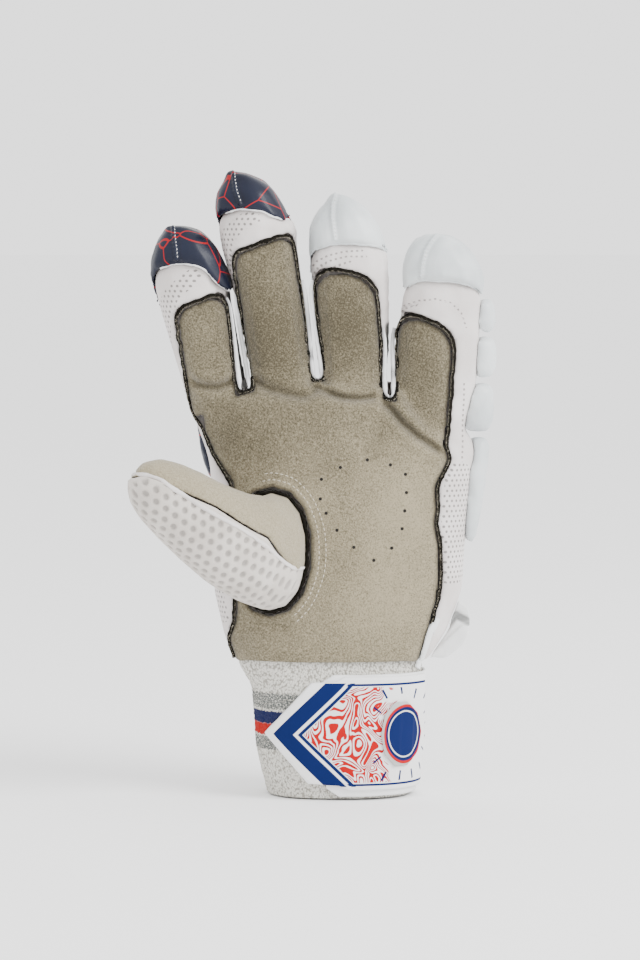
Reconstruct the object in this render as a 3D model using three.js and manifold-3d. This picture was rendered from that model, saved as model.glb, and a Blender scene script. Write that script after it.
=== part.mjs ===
// Cricket batting glove for the left hand, standing on its knitted cuff with the fingers up.
// Millimetres, +Z up, the palm faces -Y and the padded back faces +Y. The thumb is on the -X side.
// The hand, its four finger stalls and the thumb are one hollow of leather and cloth, open at the wrist.
// Foam rolls lie on its back, each a small distance clear of the wall that it is sewn to.

import * as THREE from 'three';
import { mergeVertices } from 'three/addons/utils/BufferGeometryUtils.js';
import Module from 'manifold-3d';

const wasm = await Module();
wasm.setup();

// Walls and seams
const HAND_WALL = 1.8;
const CUFF_WALL = 2.6;
const STRAP_WALL = 1.8;
const BADGE_WALL = 1.4;
const ROUNDEL_WALL = 0.9;
const SEAM_GAP = 0.3;
const SEAT_GAP = 0.45;
const BINDING_WIDTH = 2.2;
const BINDING_PROUD = 0.6;

// The hand, from the hem at the wrist to the finger roots
const HAND_HEIGHT = 123;
const HAND_DEPTH = 44;
const HAND_SQUARENESS = 2.4;
const HAND_SIDES = 22;

// The fingers, from the root line up. flare is the body's width as a share of the root's, reached between
// the two shares of the length that follow it. patch is the leather on the front: its half widths, its
// middle line from foot to top and its foot below the root are shares of the root width, its reach one of
// the length. cap is the padded tip: its point lies over the stall, its bottom is a share of the length,
// slant turns its front edge against the finger, in degrees like lean and tilt, and drop is how far that
// edge falls from the front to the finger's sides.
const FINGER_DEPTH = 27;
const FINGER_CURL = THREE.MathUtils.degToRad(14);
const FINGER_SQUARENESS = 2.2;
const FINGER_SIDES = 12;
const FINGERS = [
  {
    name: 'index', rootWidth: 27.5, gapBefore: 0, length: 61.5, lean: 12.6,
    flare: 1.18, flareFrom: 0.05, flareTo: 0.5,
    patch: {
      root: 0.4, top: 0.415, from: -0.06, to: 0.06,
      foot: 0.5, reach: 0.6, tilt: 9, corner: 0.22,
    },
    cap: { over: 11.5, shift: -0.04, wide: 1.05, bottom: 0.6, slant: -24, drop: 22 },
    rollShift: -0.02, rollWide: 0.475, navy: true,
  },
  {
    name: 'middle', rootWidth: 28.5, gapBefore: 3.3, length: 84.5, lean: 10,
    flare: 1.21, flareFrom: 0.38, flareTo: 0.7,
    patch: {
      root: 0.49, top: 0.475, from: -0.04, to: 0.03,
      foot: 0.4, reach: 0.74, tilt: 9, corner: 0.18,
    },
    cap: { over: 11.5, shift: -0.13, wide: 0.97, bottom: 0.66, slant: -18, drop: 15 },
    rollShift: 0, rollWide: 0.475, navy: true,
  },
  {
    name: 'ring', rootWidth: 29.5, gapBefore: 1.4, length: 68.5, lean: 2,
    flare: 1.17, flareFrom: 0.05, flareTo: 0.4,
    patch: {
      root: 0.46, top: 0.46, from: 0.01, to: -0.07,
      foot: 0.4, reach: 0.72, tilt: -12, corner: 0.36,
    },
    cap: { over: 16, shift: -0.1, wide: 1.02, bottom: 0.6, slant: -2, drop: 14 },
    rollShift: 0, rollWide: 0.475, navy: false,
  },
  {
    name: 'little', rootWidth: 38, gapBefore: 1.8, length: 52, lean: -5.3,
    flare: 0.92, flareFrom: 0.2, flareTo: 0.8,
    patch: {
      root: 0.33, top: 0.33, from: -0.13, to: -0.15,
      foot: 0.4, reach: 0.53, tilt: -17, corner: 0.26,
    },
    cap: { over: 15, shift: -0.16, wide: 1.04, bottom: 0.76, slant: 2, drop: 14 },
    rollShift: -0.02, rollWide: 0.46, navy: false,
  },
];

// The thumb, from its hole in the palm to its tip
const THUMB_WIDTH = 48;
const THUMB_DEPTH = 33;
const THUMB_LEFT = 62;
const THUMB_OUT = 34.5;
const THUMB_UP = 35.5;
const THUMB_SIDES = 14;

// The cuff, strap and badge
const CUFF_HEIGHT = 59;
const CUFF_TUCK = 4.5;
const CUFF_WIDTH = 77;
const CUFF_DEPTH = 48;
const CUFF_SIDES = 28;
const STRAP_HEIGHT = 54;
const BADGE_HEIGHT = 46;
const ROUNDEL_RADIUS = 15;

// The foam rolls
const ROLL_HEIGHT = 16;
const ROLL_GAP = 1.2;
const ROLL_SIDES = 10;
const HAND_ROLL_HEIGHT = 15;

const fingerRootHeight = CUFF_HEIGHT + HAND_HEIGHT;
const knuckleWidth = FINGERS.reduce((sum, finger) => sum + finger.rootWidth + finger.gapBefore, 0);

const SUEDE = new THREE.MeshStandardMaterial({ color: 0xa39a88, roughness: 0.95, metalness: 0 });
const WHITE_LEATHER = new THREE.MeshStandardMaterial({ color: 0xe9e7e4, roughness: 0.6, metalness: 0 });
const WHITE_MESH = new THREE.MeshStandardMaterial({ color: 0xe4dfdb, roughness: 0.85, metalness: 0 });
const NAVY_LEATHER = new THREE.MeshStandardMaterial({ color: 0x1c2338, roughness: 0.4, metalness: 0 });
const BLACK_BINDING = new THREE.MeshStandardMaterial({ color: 0x16140f, roughness: 0.9, metalness: 0 });
const KNIT = new THREE.MeshStandardMaterial({ color: 0xe2e0db, roughness: 0.95, metalness: 0 });
const STRAP_WHITE = new THREE.MeshStandardMaterial({ color: 0xeeeeec, roughness: 0.5, metalness: 0 });
const BADGE_VINYL = new THREE.MeshStandardMaterial({ color: 0x1d2f6b, roughness: 0.4, metalness: 0 });

const vec = (x, y, z) => new THREE.Vector3(x, y, z);
const radians = THREE.MathUtils.degToRad;

// Solids and booleans

function solidOf(geometry) {
  const bare = geometry.clone();
  bare.deleteAttribute('normal');
  bare.deleteAttribute('uv');
  const merged = mergeVertices(bare, 1e-4);
  return new wasm.Manifold(new wasm.Mesh({
    numProp: 3,
    vertProperties: merged.attributes.position.array,
    triVerts: new Uint32Array(merged.index.array),
  }));
}

function meshOf(name, solid, material) {
  const cut = mainBody(solid).getMesh();
  const geometry = new THREE.BufferGeometry();
  geometry.setAttribute('position', new THREE.BufferAttribute(cut.vertProperties, 3));
  geometry.setIndex(new THREE.BufferAttribute(cut.triVerts, 1));
  geometry.computeVertexNormals();
  const mesh = new THREE.Mesh(geometry, material);
  mesh.name = name;
  return mesh;
}

const joined = (solids) => solids.reduce((whole, solid) => whole.add(solid));

// The main body of a cut, without the crumbs that two skins leave where they nearly meet.
const mainBody = (solid) => solid.decompose().reduce(
  (largest, body) => (body.volume() > largest.volume() ? body : largest),
);

// A closed skin through rings of equal point count, each ring counter-clockwise about the way up.
function loft(rings) {
  const count = rings[0].length;
  const points = rings.flat();
  const faces = [];
  for (let i = 0; i < rings.length - 1; i++) {
    for (let j = 0; j < count; j++) {
      const a = i * count + j;
      const b = i * count + (j + 1) % count;
      faces.push(a, b, b + count, a, b + count, a + count);
    }
  }
  const first = points.length;
  const topStart = (rings.length - 1) * count;
  const middle = (ring) => ring.reduce((sum, p) => sum.add(p), vec(0, 0, 0)).divideScalar(count);
  points.push(middle(rings[0]), middle(rings.at(-1)));
  for (let j = 0; j < count; j++) {
    const next = (j + 1) % count;
    faces.push(first, next, j, first + 1, topStart + j, topStart + next);
  }
  const geometry = new THREE.BufferGeometry().setFromPoints(points);
  geometry.setIndex(faces);
  return solidOf(geometry);
}

// Local points of a rounded section: half is the half width, front and back the two half depths.
function section(half, front, back, sides, squareness) {
  const points = [];
  for (let k = 0; k < sides; k++) {
    const angle = 2 * Math.PI * k / sides;
    const bow = (value) => Math.sign(value) * Math.abs(value) ** (2 / squareness);
    const across = bow(Math.cos(angle)) * half;
    const deep = bow(Math.sin(angle));
    points.push([across, deep * (deep < 0 ? front : back)]);
  }
  return points;
}

// A slab of the shape drawn in x and z, from the depth near to the depth far.
function prism(shape, near, far) {
  const geometry = new THREE.ExtrudeGeometry(
    shape,
    { depth: far - near, bevelEnabled: false, curveSegments: 5 },
  );
  geometry.rotateX(Math.PI / 2);
  geometry.translate(0, far, 0);
  return solidOf(geometry);
}

// A large block whose one face passes through the point, on the side that the normal points to.
function halfSpace(point, normal) {
  const REACH = 500;
  const block = new THREE.BoxGeometry(REACH, REACH, REACH);
  block.translate(0, 0, REACH / 2);
  block.applyQuaternion(new THREE.Quaternion().setFromUnitVectors(vec(0, 0, 1), normal.clone().normalize()));
  block.translate(point.x, point.y, point.z);
  return solidOf(block);
}

// The hand's outer form. Heights are shares of HAND_HEIGHT above the hem, left and right shares of the
// knuckle width, front and back shares of HAND_DEPTH.
const HAND_SECTIONS = [
  { height: 0.0, left: 0.334, right: 0.335, front: 0.52, back: 0.52 },
  { height: 0.106, left: 0.368, right: 0.4, front: 0.505, back: 0.5 },
  { height: 0.26, left: 0.399, right: 0.455, front: 0.5, back: 0.47 },
  { height: 0.443, left: 0.401, right: 0.464, front: 0.48, back: 0.43 },
  { height: 0.691, left: 0.411, right: 0.488, front: 0.45, back: 0.4 },
  { height: 0.837, left: 0.44, right: 0.5, front: 0.445, back: 0.36 },
  { height: 0.93, left: 0.474, right: 0.5, front: 0.42, back: 0.34 },
  { height: 0.99, left: 0.485, right: 0.49, front: 0.32, back: 0.28 },
  { height: 1.02, left: 0.47, right: 0.475, front: 0.18, back: 0.18 },
];

// The ball of the hand folds lower under the little finger: the top rings drop towards that side.
const FOLD_DROP = 24;
const FOLD_FROM = 0.2;
const FOLD_TO = 0.4;
const FOLD_STARTS = 0.69;

function foldDrop(across, height) {
  const side = THREE.MathUtils.smoothstep(across / knuckleWidth, FOLD_FROM, FOLD_TO);
  const rise = THREE.MathUtils.smoothstep(height, FOLD_STARTS, 1);
  return FOLD_DROP * side * rise;
}

function handLoft(grow) {
  const rings = HAND_SECTIONS.map((row) => {
    const left = -row.left * knuckleWidth - grow;
    const right = row.right * knuckleWidth + grow;
    const middle = (left + right) / 2;
    const front = row.front * HAND_DEPTH + grow;
    const back = row.back * HAND_DEPTH + grow;
    const lift = row.height > 1 ? grow : 0;
    const level = CUFF_HEIGHT + row.height * HAND_HEIGHT + lift;
    return section((right - left) / 2, front, back, HAND_SIDES, HAND_SQUARENESS).map(
      ([x, y]) => vec(middle + x, y, level - foldDrop(middle + x, row.height)),
    );
  });
  if (grow < 0) {
    rings.unshift(rings[0].map((p) => vec(p.x, p.y, p.z - 2 * CUFF_TUCK)));
  }
  return loft(rings);
}

// The fingers stand side by side from the -X edge of the knuckles.
let edge = -knuckleWidth / 2;
for (const finger of FINGERS) {
  edge += finger.gapBefore;
  finger.rootX = edge + finger.rootWidth / 2;
  edge += finger.rootWidth;
  finger.tilt = radians(finger.lean);
}

// A point of a finger: x across it, y behind its middle, along its bent length from the root line.
function fingerPoint(finger, x, y, along) {
  const turn = FINGER_CURL * Math.max(0, along) / finger.length;
  const radius = finger.length / FINGER_CURL;
  const rise = along > 0 ? radius * Math.sin(turn) : along;
  const depth = y * Math.cos(turn) - (along > 0 ? radius * (1 - Math.cos(turn)) : 0);
  const height = rise + y * Math.sin(turn);
  return vec(
    finger.rootX + x * Math.cos(finger.tilt) - height * Math.sin(finger.tilt),
    depth,
    fingerRootHeight + x * Math.sin(finger.tilt) + height * Math.cos(finger.tilt),
  );
}

function fingerHalf(finger, along) {
  const share = THREE.MathUtils.smoothstep(along / finger.length, finger.flareFrom, finger.flareTo);
  return finger.rootWidth / 2 * (1 + (finger.flare - 1) * share);
}

const FINGER_ROOT = 34;
const DOME_LENGTH = 13;
const DOME_STEPS = [0, 0.5, 0.85];
const BODY_STEPS = [0, 0.35, 0.7];

function fingerLoft(finger, grow) {
  const shoulder = finger.length - DOME_LENGTH;
  const stations = [
    { along: -FINGER_ROOT, full: 0.7 },
    ...BODY_STEPS.map((share) => ({ along: share * shoulder, full: 1 })),
    ...DOME_STEPS.map((share) => ({
      along: shoulder + share * (DOME_LENGTH + grow),
      full: Math.sqrt(1 - share ** 2),
    })),
  ];
  return loft(stations.map(({ along, full }) => {
    const half = (fingerHalf(finger, along) + grow) * full;
    const deep = (FINGER_DEPTH / 2 + grow) * full;
    return section(half, deep, deep, FINGER_SIDES, FINGER_SQUARENESS).map(
      ([x, y]) => fingerPoint(finger, x, y, along),
    );
  }));
}

// The thumb leaves its hole square to the palm and bends out over the edge. left, out and up are shares
// of the thumb's three reaches, wide and deep shares of its width and depth.
const THUMB_BASE = { across: -0.193, depth: -0.32, height: 0.405 };
const THUMB_SECTIONS = [
  { left: 0.0, out: 0.0, up: 0.0, wide: 1.1, deep: 0.94 },
  { left: 0.04, out: 0.29, up: 0.006, wide: 1.06, deep: 1.0 },
  { left: 0.145, out: 0.55, up: 0.076, wide: 1.0, deep: 1.0 },
  { left: 0.307, out: 0.725, up: 0.217, wide: 0.9, deep: 1.0 },
  { left: 0.48, out: 0.826, up: 0.42, wide: 0.8, deep: 0.97 },
  { left: 0.64, out: 0.9, up: 0.63, wide: 0.72, deep: 0.9 },
  { left: 0.78, out: 0.957, up: 0.81, wide: 0.62, deep: 0.8 },
  { left: 0.885, out: 0.985, up: 0.94, wide: 0.48, deep: 0.62 },
  { left: 0.955, out: 1.0, up: 1.02, wide: 0.26, deep: 0.34 },
];
const thumbBase = vec(
  THUMB_BASE.across * knuckleWidth,
  THUMB_BASE.depth * HAND_DEPTH,
  CUFF_HEIGHT + THUMB_BASE.height * HAND_HEIGHT,
);
const thumbSpine = THUMB_SECTIONS.map((row) => thumbBase.clone().add(
  vec(-row.left * THUMB_LEFT, -row.out * THUMB_OUT, row.up * THUMB_UP),
));

// The way along the thumb, up across it and out of its back at one of its sections.
function thumbFrame(i) {
  const before = thumbSpine[Math.max(i - 1, 0)];
  const after = thumbSpine[Math.min(i + 1, thumbSpine.length - 1)];
  const along = after.clone().sub(before).normalize();
  const up = vec(0, 0, 1).addScaledVector(along, -along.z).normalize();
  return { along, up, back: along.clone().cross(up) };
}

function thumbLoft(grow) {
  const last = THUMB_SECTIONS.length - 1;
  return loft(THUMB_SECTIONS.map((row, i) => {
    const { along, up, back } = thumbFrame(i);
    const centre = thumbSpine[i].clone().addScaledVector(along, i === last ? grow : 0);
    const half = row.wide * THUMB_WIDTH / 2 + grow;
    const deep = row.deep * THUMB_DEPTH / 2 + grow;
    return section(half, deep, deep, THUMB_SIDES, FINGER_SQUARENESS).map(
      ([x, y]) => centre.clone().addScaledVector(up, x).addScaledVector(back, y),
    );
  }));
}

// The leather of the palm, seen from the front. Its edge runs from the wrist up the thumb side, through
// the three webs and down the little finger's side, in shares of the knuckle width and HAND_HEIGHT.
const PALM_EDGE = [
  { across: -0.318, height: -0.05 }, { across: -0.32, height: 0.0 }, { across: -0.345, height: 0.084 },
  { across: -0.324, height: 0.152 }, { across: -0.32, height: 0.26 }, { across: -0.324, height: 0.45 },
  { across: -0.334, height: 0.649 }, { across: -0.36, height: 0.69 }, { across: -0.396, height: 0.75 },
  { across: -0.43, height: 0.837 }, { across: -0.446, height: 0.93 }, { across: -0.3, height: 0.972 },
  { across: -0.035, height: 1.018 }, { across: 0.193, height: 0.955 }, { across: 0.4, height: 0.9 },
  { across: 0.398, height: 0.82 }, { across: 0.39, height: 0.78 }, { across: 0.406, height: 0.733 },
  { across: 0.36, height: 0.637 }, { across: 0.364, height: 0.548 }, { across: 0.357, height: 0.504 },
  { across: 0.372, height: 0.422 }, { across: 0.374, height: 0.305 }, { across: 0.363, height: 0.221 },
  { across: 0.347, height: 0.17 }, { across: 0.34, height: 0.132 }, { across: 0.302, height: 0.0 },
  { across: 0.298, height: -0.05 },
];

function grownOutline(points, grow) {
  return points.map((point, i) => {
    const before = points[(i + points.length - 1) % points.length];
    const after = points[(i + 1) % points.length];
    const inward = point.clone().sub(before).normalize();
    const outward = after.clone().sub(point).normalize();
    const normal = new THREE.Vector2(-inward.y - outward.y, inward.x + outward.x).normalize();
    return point.clone().addScaledVector(normal, grow);
  });
}

function patchShape(finger, grow) {
  const { root, top, from, to, foot, reach, tilt, corner } = finger.patch;
  const width = finger.rootWidth;
  const low = -foot * width - grow;
  const high = reach * finger.length + grow;
  const lowHalf = root * width + grow;
  const highHalf = top * width + grow;
  const lowMiddle = from * width;
  const left = to * width - highHalf;
  const right = to * width + highHalf;
  const rise = Math.tan(radians(tilt)) * highHalf;
  const round = corner * width;
  const inner = rise * (1 - round / highHalf);
  const shape = new THREE.Shape();
  shape.moveTo(lowMiddle - lowHalf, low);
  shape.lineTo(lowMiddle + lowHalf, low);
  shape.lineTo(right, high + rise - round);
  shape.quadraticCurveTo(right, high + rise, right - round, high + inner);
  shape.lineTo(left + round, high - inner);
  shape.quadraticCurveTo(left, high - rise, left, high - rise - round);
  shape.closePath();
  return shape;
}

// Everything in front of the hand's hollow that lies inside the leather's edge.
const FRONT = -95;
const INSIDE_HOLLOW = -3;
function leatherRegion(grow) {
  const corners = PALM_EDGE.map(({ across, height }) => new THREE.Vector2(
    across * knuckleWidth,
    CUFF_HEIGHT + height * HAND_HEIGHT,
  ));
  const palm = prism(new THREE.Shape(grownOutline(corners, grow)), FRONT, INSIDE_HOLLOW);
  const patches = FINGERS.map((finger) => {
    const geometry = new THREE.ExtrudeGeometry(
      patchShape(finger, grow),
      { depth: INSIDE_HOLLOW - FRONT, bevelEnabled: false, curveSegments: 4 },
    );
    geometry.rotateX(Math.PI / 2);
    geometry.rotateY(-finger.tilt);
    geometry.translate(finger.rootX, INSIDE_HOLLOW, fingerRootHeight);
    return solidOf(geometry);
  });
  return joined([palm, ...patches]);
}

// The hollow hand with its seams
const handOuter = joined([handLoft(0), ...FINGERS.map((finger) => fingerLoft(finger, 0))]);
const handInner = joined([
  handLoft(-HAND_WALL),
  ...FINGERS.map((finger) => fingerLoft(finger, -HAND_WALL)),
]);
const handProud = joined([
  handLoft(BINDING_PROUD),
  ...FINGERS.map((finger) => fingerLoft(finger, BINDING_PROUD)),
]);
const thumbClear = thumbLoft(BINDING_WIDTH + 2 * SEAM_GAP);
const thumbRing = thumbLoft(BINDING_WIDTH + SEAM_GAP);
const handShell = handOuter.subtract(handInner).subtract(thumbClear);
const halfBinding = BINDING_WIDTH / 2;
const aboveHem = halfSpace(vec(0, 0, CUFF_HEIGHT), vec(0, 0, 1));

const palm = handShell.intersect(leatherRegion(-halfBinding - SEAM_GAP));
const cloth = handShell.subtract(leatherRegion(halfBinding + SEAM_GAP));
// The binding runs round the leather's edge and round the thumb's hole.
const binding = handProud.subtract(handInner)
  .intersect(leatherRegion(halfBinding).subtract(leatherRegion(-halfBinding)).add(thumbRing))
  .subtract(thumbLoft(SEAM_GAP))
  .intersect(aboveHem);

// The room of one finger between its neighbours, so that what is padded lies side by side.
function fingerSlot(i) {
  const parting = (left, right, side) => {
    const middle = (left.rootX + left.rootWidth / 2 + right.rootX - right.rootWidth / 2) / 2;
    const tilt = (left.tilt + right.tilt) / 2;
    const normal = vec(side * Math.cos(tilt), 0, side * Math.sin(tilt));
    const face = vec(middle, 0, fingerRootHeight).addScaledVector(normal, SEAM_GAP / 2);
    return halfSpace(face, normal);
  };
  const sides = [];
  if (i > 0) {
    sides.push(parting(FINGERS[i - 1], FINGERS[i], 1));
  }
  if (i < FINGERS.length - 1) {
    sides.push(parting(FINGERS[i], FINGERS[i + 1], -1));
  }
  return sides.reduce((room, side) => room.intersect(side));
}

// Each stall is parted from the back panel just above the root line.
const STALL_CUT = 5;
const STALL_MARGIN = 0.35;
function stallSpace(finger, below) {
  const cut = fingerPoint(finger, 0, 0, STALL_CUT - below);
  const up = fingerPoint(finger, 0, 0, STALL_CUT + 1).sub(fingerPoint(finger, 0, 0, STALL_CUT));
  return fingerLoft(finger, STALL_MARGIN).intersect(halfSpace(cut, up));
}
const stalls = FINGERS.map((finger, i) => cloth.intersect(stallSpace(finger, 0)).intersect(fingerSlot(i)));
const backPanel = cloth.subtract(joined(FINGERS.map((finger) => stallSpace(finger, SEAM_GAP))));

// The thumb: a mesh half below its long seam and a leather half above it. The leather's edge runs from the
// root along the bowed seam to the tip and round behind the thumb. left and up are shares of THUMB_LEFT and
// THUMB_UP from the thumb's root.
const THUMB_LEATHER_EDGE = [
  { left: -0.5, up: -0.6 }, { left: -0.11, up: -0.08 }, { left: 0.03, up: 0.24 }, { left: 0.38, up: 0.63 },
  { left: 0.68, up: 0.9 }, { left: 0.85, up: 1 }, { left: 0.98, up: 0.95 }, { left: 1.3, up: 0.7 },
  { left: 1.3, up: 2.5 }, { left: -0.5, up: 2.5 },
];
const thumbTube = thumbLoft(0).subtract(thumbLoft(-HAND_WALL)).subtract(handLoft(-HAND_WALL));
const thumbLeatherCorners = THUMB_LEATHER_EDGE.map(({ left, up }) => new THREE.Vector2(
  thumbSpine[0].x - left * THUMB_LEFT,
  thumbSpine[0].z + up * THUMB_UP,
));
const thumbLeatherRegion = (grow) => prism(
  new THREE.Shape(grownOutline(thumbLeatherCorners, grow)),
  -2 * THUMB_WIDTH,
  2 * THUMB_WIDTH,
);
const thumbLeather = thumbTube.intersect(thumbLeatherRegion(-SEAM_GAP / 2));
const thumbMesh = thumbTube.subtract(thumbLeatherRegion(SEAM_GAP / 2));

// The foam rolls: full sections between rounded ends. at is a share of the roll's length.
const ROLL_PROFILE = [
  { at: 0, full: 0.5 }, { at: 0.08, full: 0.83 }, { at: 0.26, full: 1 },
  { at: 0.74, full: 1 }, { at: 0.92, full: 0.83 }, { at: 1, full: 0.5 },
];
const grownHand = joined([
  handLoft(SEAT_GAP),
  ...FINGERS.map((finger) => fingerLoft(finger, SEAT_GAP)),
]);

function roll(frame, { from, to, shift, halfFrom, halfTo, seat, height, sink }) {
  return loft(ROLL_PROFILE.map(({ at, full }) => {
    const along = from + (to - from) * at;
    const half = (halfFrom + (halfTo - halfFrom) * at) * (0.3 + 0.7 * full);
    return section(half, sink * full, height * full, ROLL_SIDES, FINGER_SQUARENESS).map(
      ([x, y]) => fingerPoint(frame, x + shift, seat + y, along),
    );
  })).subtract(grownHand);
}

// The cap over a fingertip. down is a share of the cap's length below its point.
const CAP_PROFILE = [
  { down: 1.0, wide: 0.9, deep: 0.8 }, { down: 0.97, wide: 0.97, deep: 0.93 },
  { down: 0.75, wide: 1.0, deep: 1.0 }, { down: 0.55, wide: 0.97, deep: 0.98 },
  { down: 0.36, wide: 0.86, deep: 0.88 }, { down: 0.2, wide: 0.64, deep: 0.68 },
  { down: 0.08, wide: 0.34, deep: 0.38 }, { down: 0.01, wide: 0.1, deep: 0.12 },
];
const CAP_FRONT = 14.4;
const CAP_SIDES = 12;

function capSolid(finger) {
  const top = finger.length + finger.cap.over;
  const bottom = capBottom(finger);
  const half = finger.rootWidth * finger.flare / 2 * finger.cap.wide;
  const back = FINGER_DEPTH / 2 + ROLL_HEIGHT;
  const envelope = loft(CAP_PROFILE.map(({ down, wide, deep }) => {
    const along = top - down * (top - bottom);
    const shift = finger.cap.shift * finger.rootWidth * (1 - down) ** 2;
    return section(half * wide, CAP_FRONT * deep, back * deep, CAP_SIDES, FINGER_SQUARENESS).map(
      ([x, y]) => fingerPoint(finger, x + shift, y, along),
    );
  }));
  const lip = fingerPoint(finger, 0, -FINGER_DEPTH / 2, finger.length - 1);
  const low = fingerPoint(finger, 0, 1.5, finger.length - 1 - finger.cap.drop);
  const slope = low.clone().sub(lip);
  const cut = finger.tilt + radians(finger.cap.slant);
  const across = vec(Math.cos(cut), 0, Math.sin(cut));
  const above = halfSpace(lip, across.clone().cross(slope));
  const behind = halfSpace(low, vec(0, 1, 0));
  return envelope.subtract(grownHand).intersect(above.add(behind));
}

const capBottom = (finger) => finger.length * finger.cap.bottom;

// The rows of rolls on the back of the hand run on from the fingers. foot and head are the shares of
// the hand's height between which a row lies, split is where it is parted.
const HAND_ROWS = [
  {
    name: 'index', lean: 8.5, shift: 0.06, head: 0.99, split: 0.63,
    foot: 0.3, wideTop: 0.46, wideFoot: 0.44,
  },
  {
    name: 'middle', lean: 3, shift: 0.03, head: 0.99, split: 0.65,
    foot: 0.3, wideTop: 0.48, wideFoot: 0.44,
  },
  {
    name: 'ring', lean: 0, shift: 0, head: 0.99, split: 0.65,
    foot: 0.3, wideTop: 0.47, wideFoot: 0.43,
  },
  {
    name: 'little', lean: -3, shift: -0.06, head: 0.97, split: 0.63,
    foot: 0.3, wideTop: 0.4, wideFoot: 0.36,
  },
];
const HAND_ROLL_SEAT = 9;

function handRolls(finger, row) {
  const frame = { ...finger, tilt: radians(row.lean) };
  const rise = (share) => (share - 1) * HAND_HEIGHT;
  const common = {
    shift: row.shift * finger.rootWidth, seat: HAND_ROLL_SEAT,
    height: HAND_DEPTH * 0.4 - HAND_ROLL_SEAT + HAND_ROLL_HEIGHT, sink: 8,
  };
  const width = (share) => finger.rootWidth * THREE.MathUtils.mapLinear(
    share, row.foot, row.head, row.wideFoot, row.wideTop,
  );
  return [
    ['lower', row.foot, row.split - ROLL_GAP / 2 / HAND_HEIGHT],
    ['upper', row.split + ROLL_GAP / 2 / HAND_HEIGHT, row.head],
  ].map(([part, low, high]) => [
    `${row.name}_hand_roll_${part}`,
    roll(frame, { ...common, from: rise(low), to: rise(high), halfFrom: width(low), halfTo: width(high) }),
  ]);
}

function fingerRolls(finger) {
  const low = 0.02 * HAND_HEIGHT;
  const high = capBottom(finger) - ROLL_GAP;
  const half = low + (high - low) * 0.5;
  const common = {
    shift: finger.rollShift * finger.rootWidth, seat: FINGER_DEPTH * 0.3,
    height: FINGER_DEPTH * 0.2 + ROLL_HEIGHT, sink: 6,
  };
  const width = (along) => fingerHalf(finger, along) * 2 * finger.rollWide;
  return [['base', low, half - ROLL_GAP / 2], ['mid', half + ROLL_GAP / 2, high]].map(
    ([part, from, to]) => [
      `${finger.name}_roll_${part}`,
      roll(finger, { ...common, from, to, halfFrom: width(from), halfTo: width(to) }),
    ],
  );
}

// The side bar guards the outer edge of the little finger and the hand. from and to are heights above
// the finger roots as shares of the little finger's length, and out is how far each end stands out, in
// shares of the bar's height.
const SIDE_BAR = [
  { part: 'tip', from: 0.445, to: 0.745, half: 6.5, outFrom: 0.96, outTo: 0.8 },
  { part: 'mid', from: 0.06, to: 0.42, half: 7, outFrom: 1, outTo: 1 },
  { part: 'base', from: -0.4, to: 0.03, half: 7.5, outFrom: 1, outTo: 1 },
  { part: 'hand', from: -1.35, to: -0.43, half: 7.5, outFrom: 0.45, outTo: 1 },
];
const SIDE_BAR_HEIGHT = 9.5;
const SIDE_BAR_LEAN = -2.5;
const SIDE_BAR_SINK = 6;

function sideBar(little) {
  const frame = { ...little, tilt: radians(SIDE_BAR_LEAN) };
  const inner = little.rootWidth / 2 - SIDE_BAR_SINK;
  return SIDE_BAR.map(({ part, from, to, half, outFrom, outTo }) => {
    const rings = ROLL_PROFILE.map(({ at, full }) => {
      const along = little.length * (from + (to - from) * at);
      const out = SIDE_BAR_HEIGHT * (outFrom + (outTo - outFrom) * at) * (0.5 + full / 2);
      const reach = (out + SIDE_BAR_SINK) / 2;
      return section(reach, half * full, half * full, ROLL_SIDES, FINGER_SQUARENESS)
        .map(([x, y]) => fingerPoint(frame, inner + reach + x, 1 + y, along));
    });
    return [`side_bar_${part}`, loft(rings).subtract(grownHand)];
  });
}

// The two thumb pads lie on the thumb's back. from and to are sections of the thumb's table.
const THUMB_PADS = [
  { part: 'base', from: 3, to: 5, wide: 0.62 },
  { part: 'tip', from: 5, to: 7, wide: 0.66 },
];
const THUMB_PAD_HEIGHT = 8;
const THUMB_PAD_STEPS = [
  { at: 0, full: 0.55 }, { at: 0.12, full: 0.85 }, { at: 0.5, full: 1 },
  { at: 0.88, full: 0.85 }, { at: 1, full: 0.55 },
];

function thumbPads() {
  const clear = thumbLoft(SEAT_GAP);
  const spine = new THREE.CatmullRomCurve3(thumbSpine);
  const last = THUMB_SECTIONS.length - 1;
  return THUMB_PADS.map(({ part, from, to, wide }) => {
    const start = from / last + (part === 'tip' ? 0.006 : -0.04);
    const end = to / last - (part === 'base' ? 0.006 : 0);
    const rings = THUMB_PAD_STEPS.map(({ at, full }) => {
      const share = start + (end - start) * at;
      const centre = spine.getPoint(share);
      const i = Math.round(share * last);
      const { up, back } = thumbFrame(Math.min(i, last - 1));
      const row = THUMB_SECTIONS[Math.floor(share * last)];
      const next = THUMB_SECTIONS[Math.min(Math.floor(share * last) + 1, last)];
      const blend = share * last - Math.floor(share * last);
      const half = (row.wide + (next.wide - row.wide) * blend) * THUMB_WIDTH / 2 * wide * full;
      const deep = (row.deep + (next.deep - row.deep) * blend) * THUMB_DEPTH / 2;
      const behind = THUMB_PAD_HEIGHT * full + deep * 0.35;
      const foot = centre.clone().addScaledVector(up, -half * 0.2).addScaledVector(back, deep * 0.65);
      return section(half, deep * 0.4, behind, ROLL_SIDES, FINGER_SQUARENESS)
        .map(([x, y]) => foot.clone().addScaledVector(up, x).addScaledVector(back, y));
    });
    return [`thumb_pad_${part}`, loft(rings).subtract(clear).subtract(grownHand)];
  });
}

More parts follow.
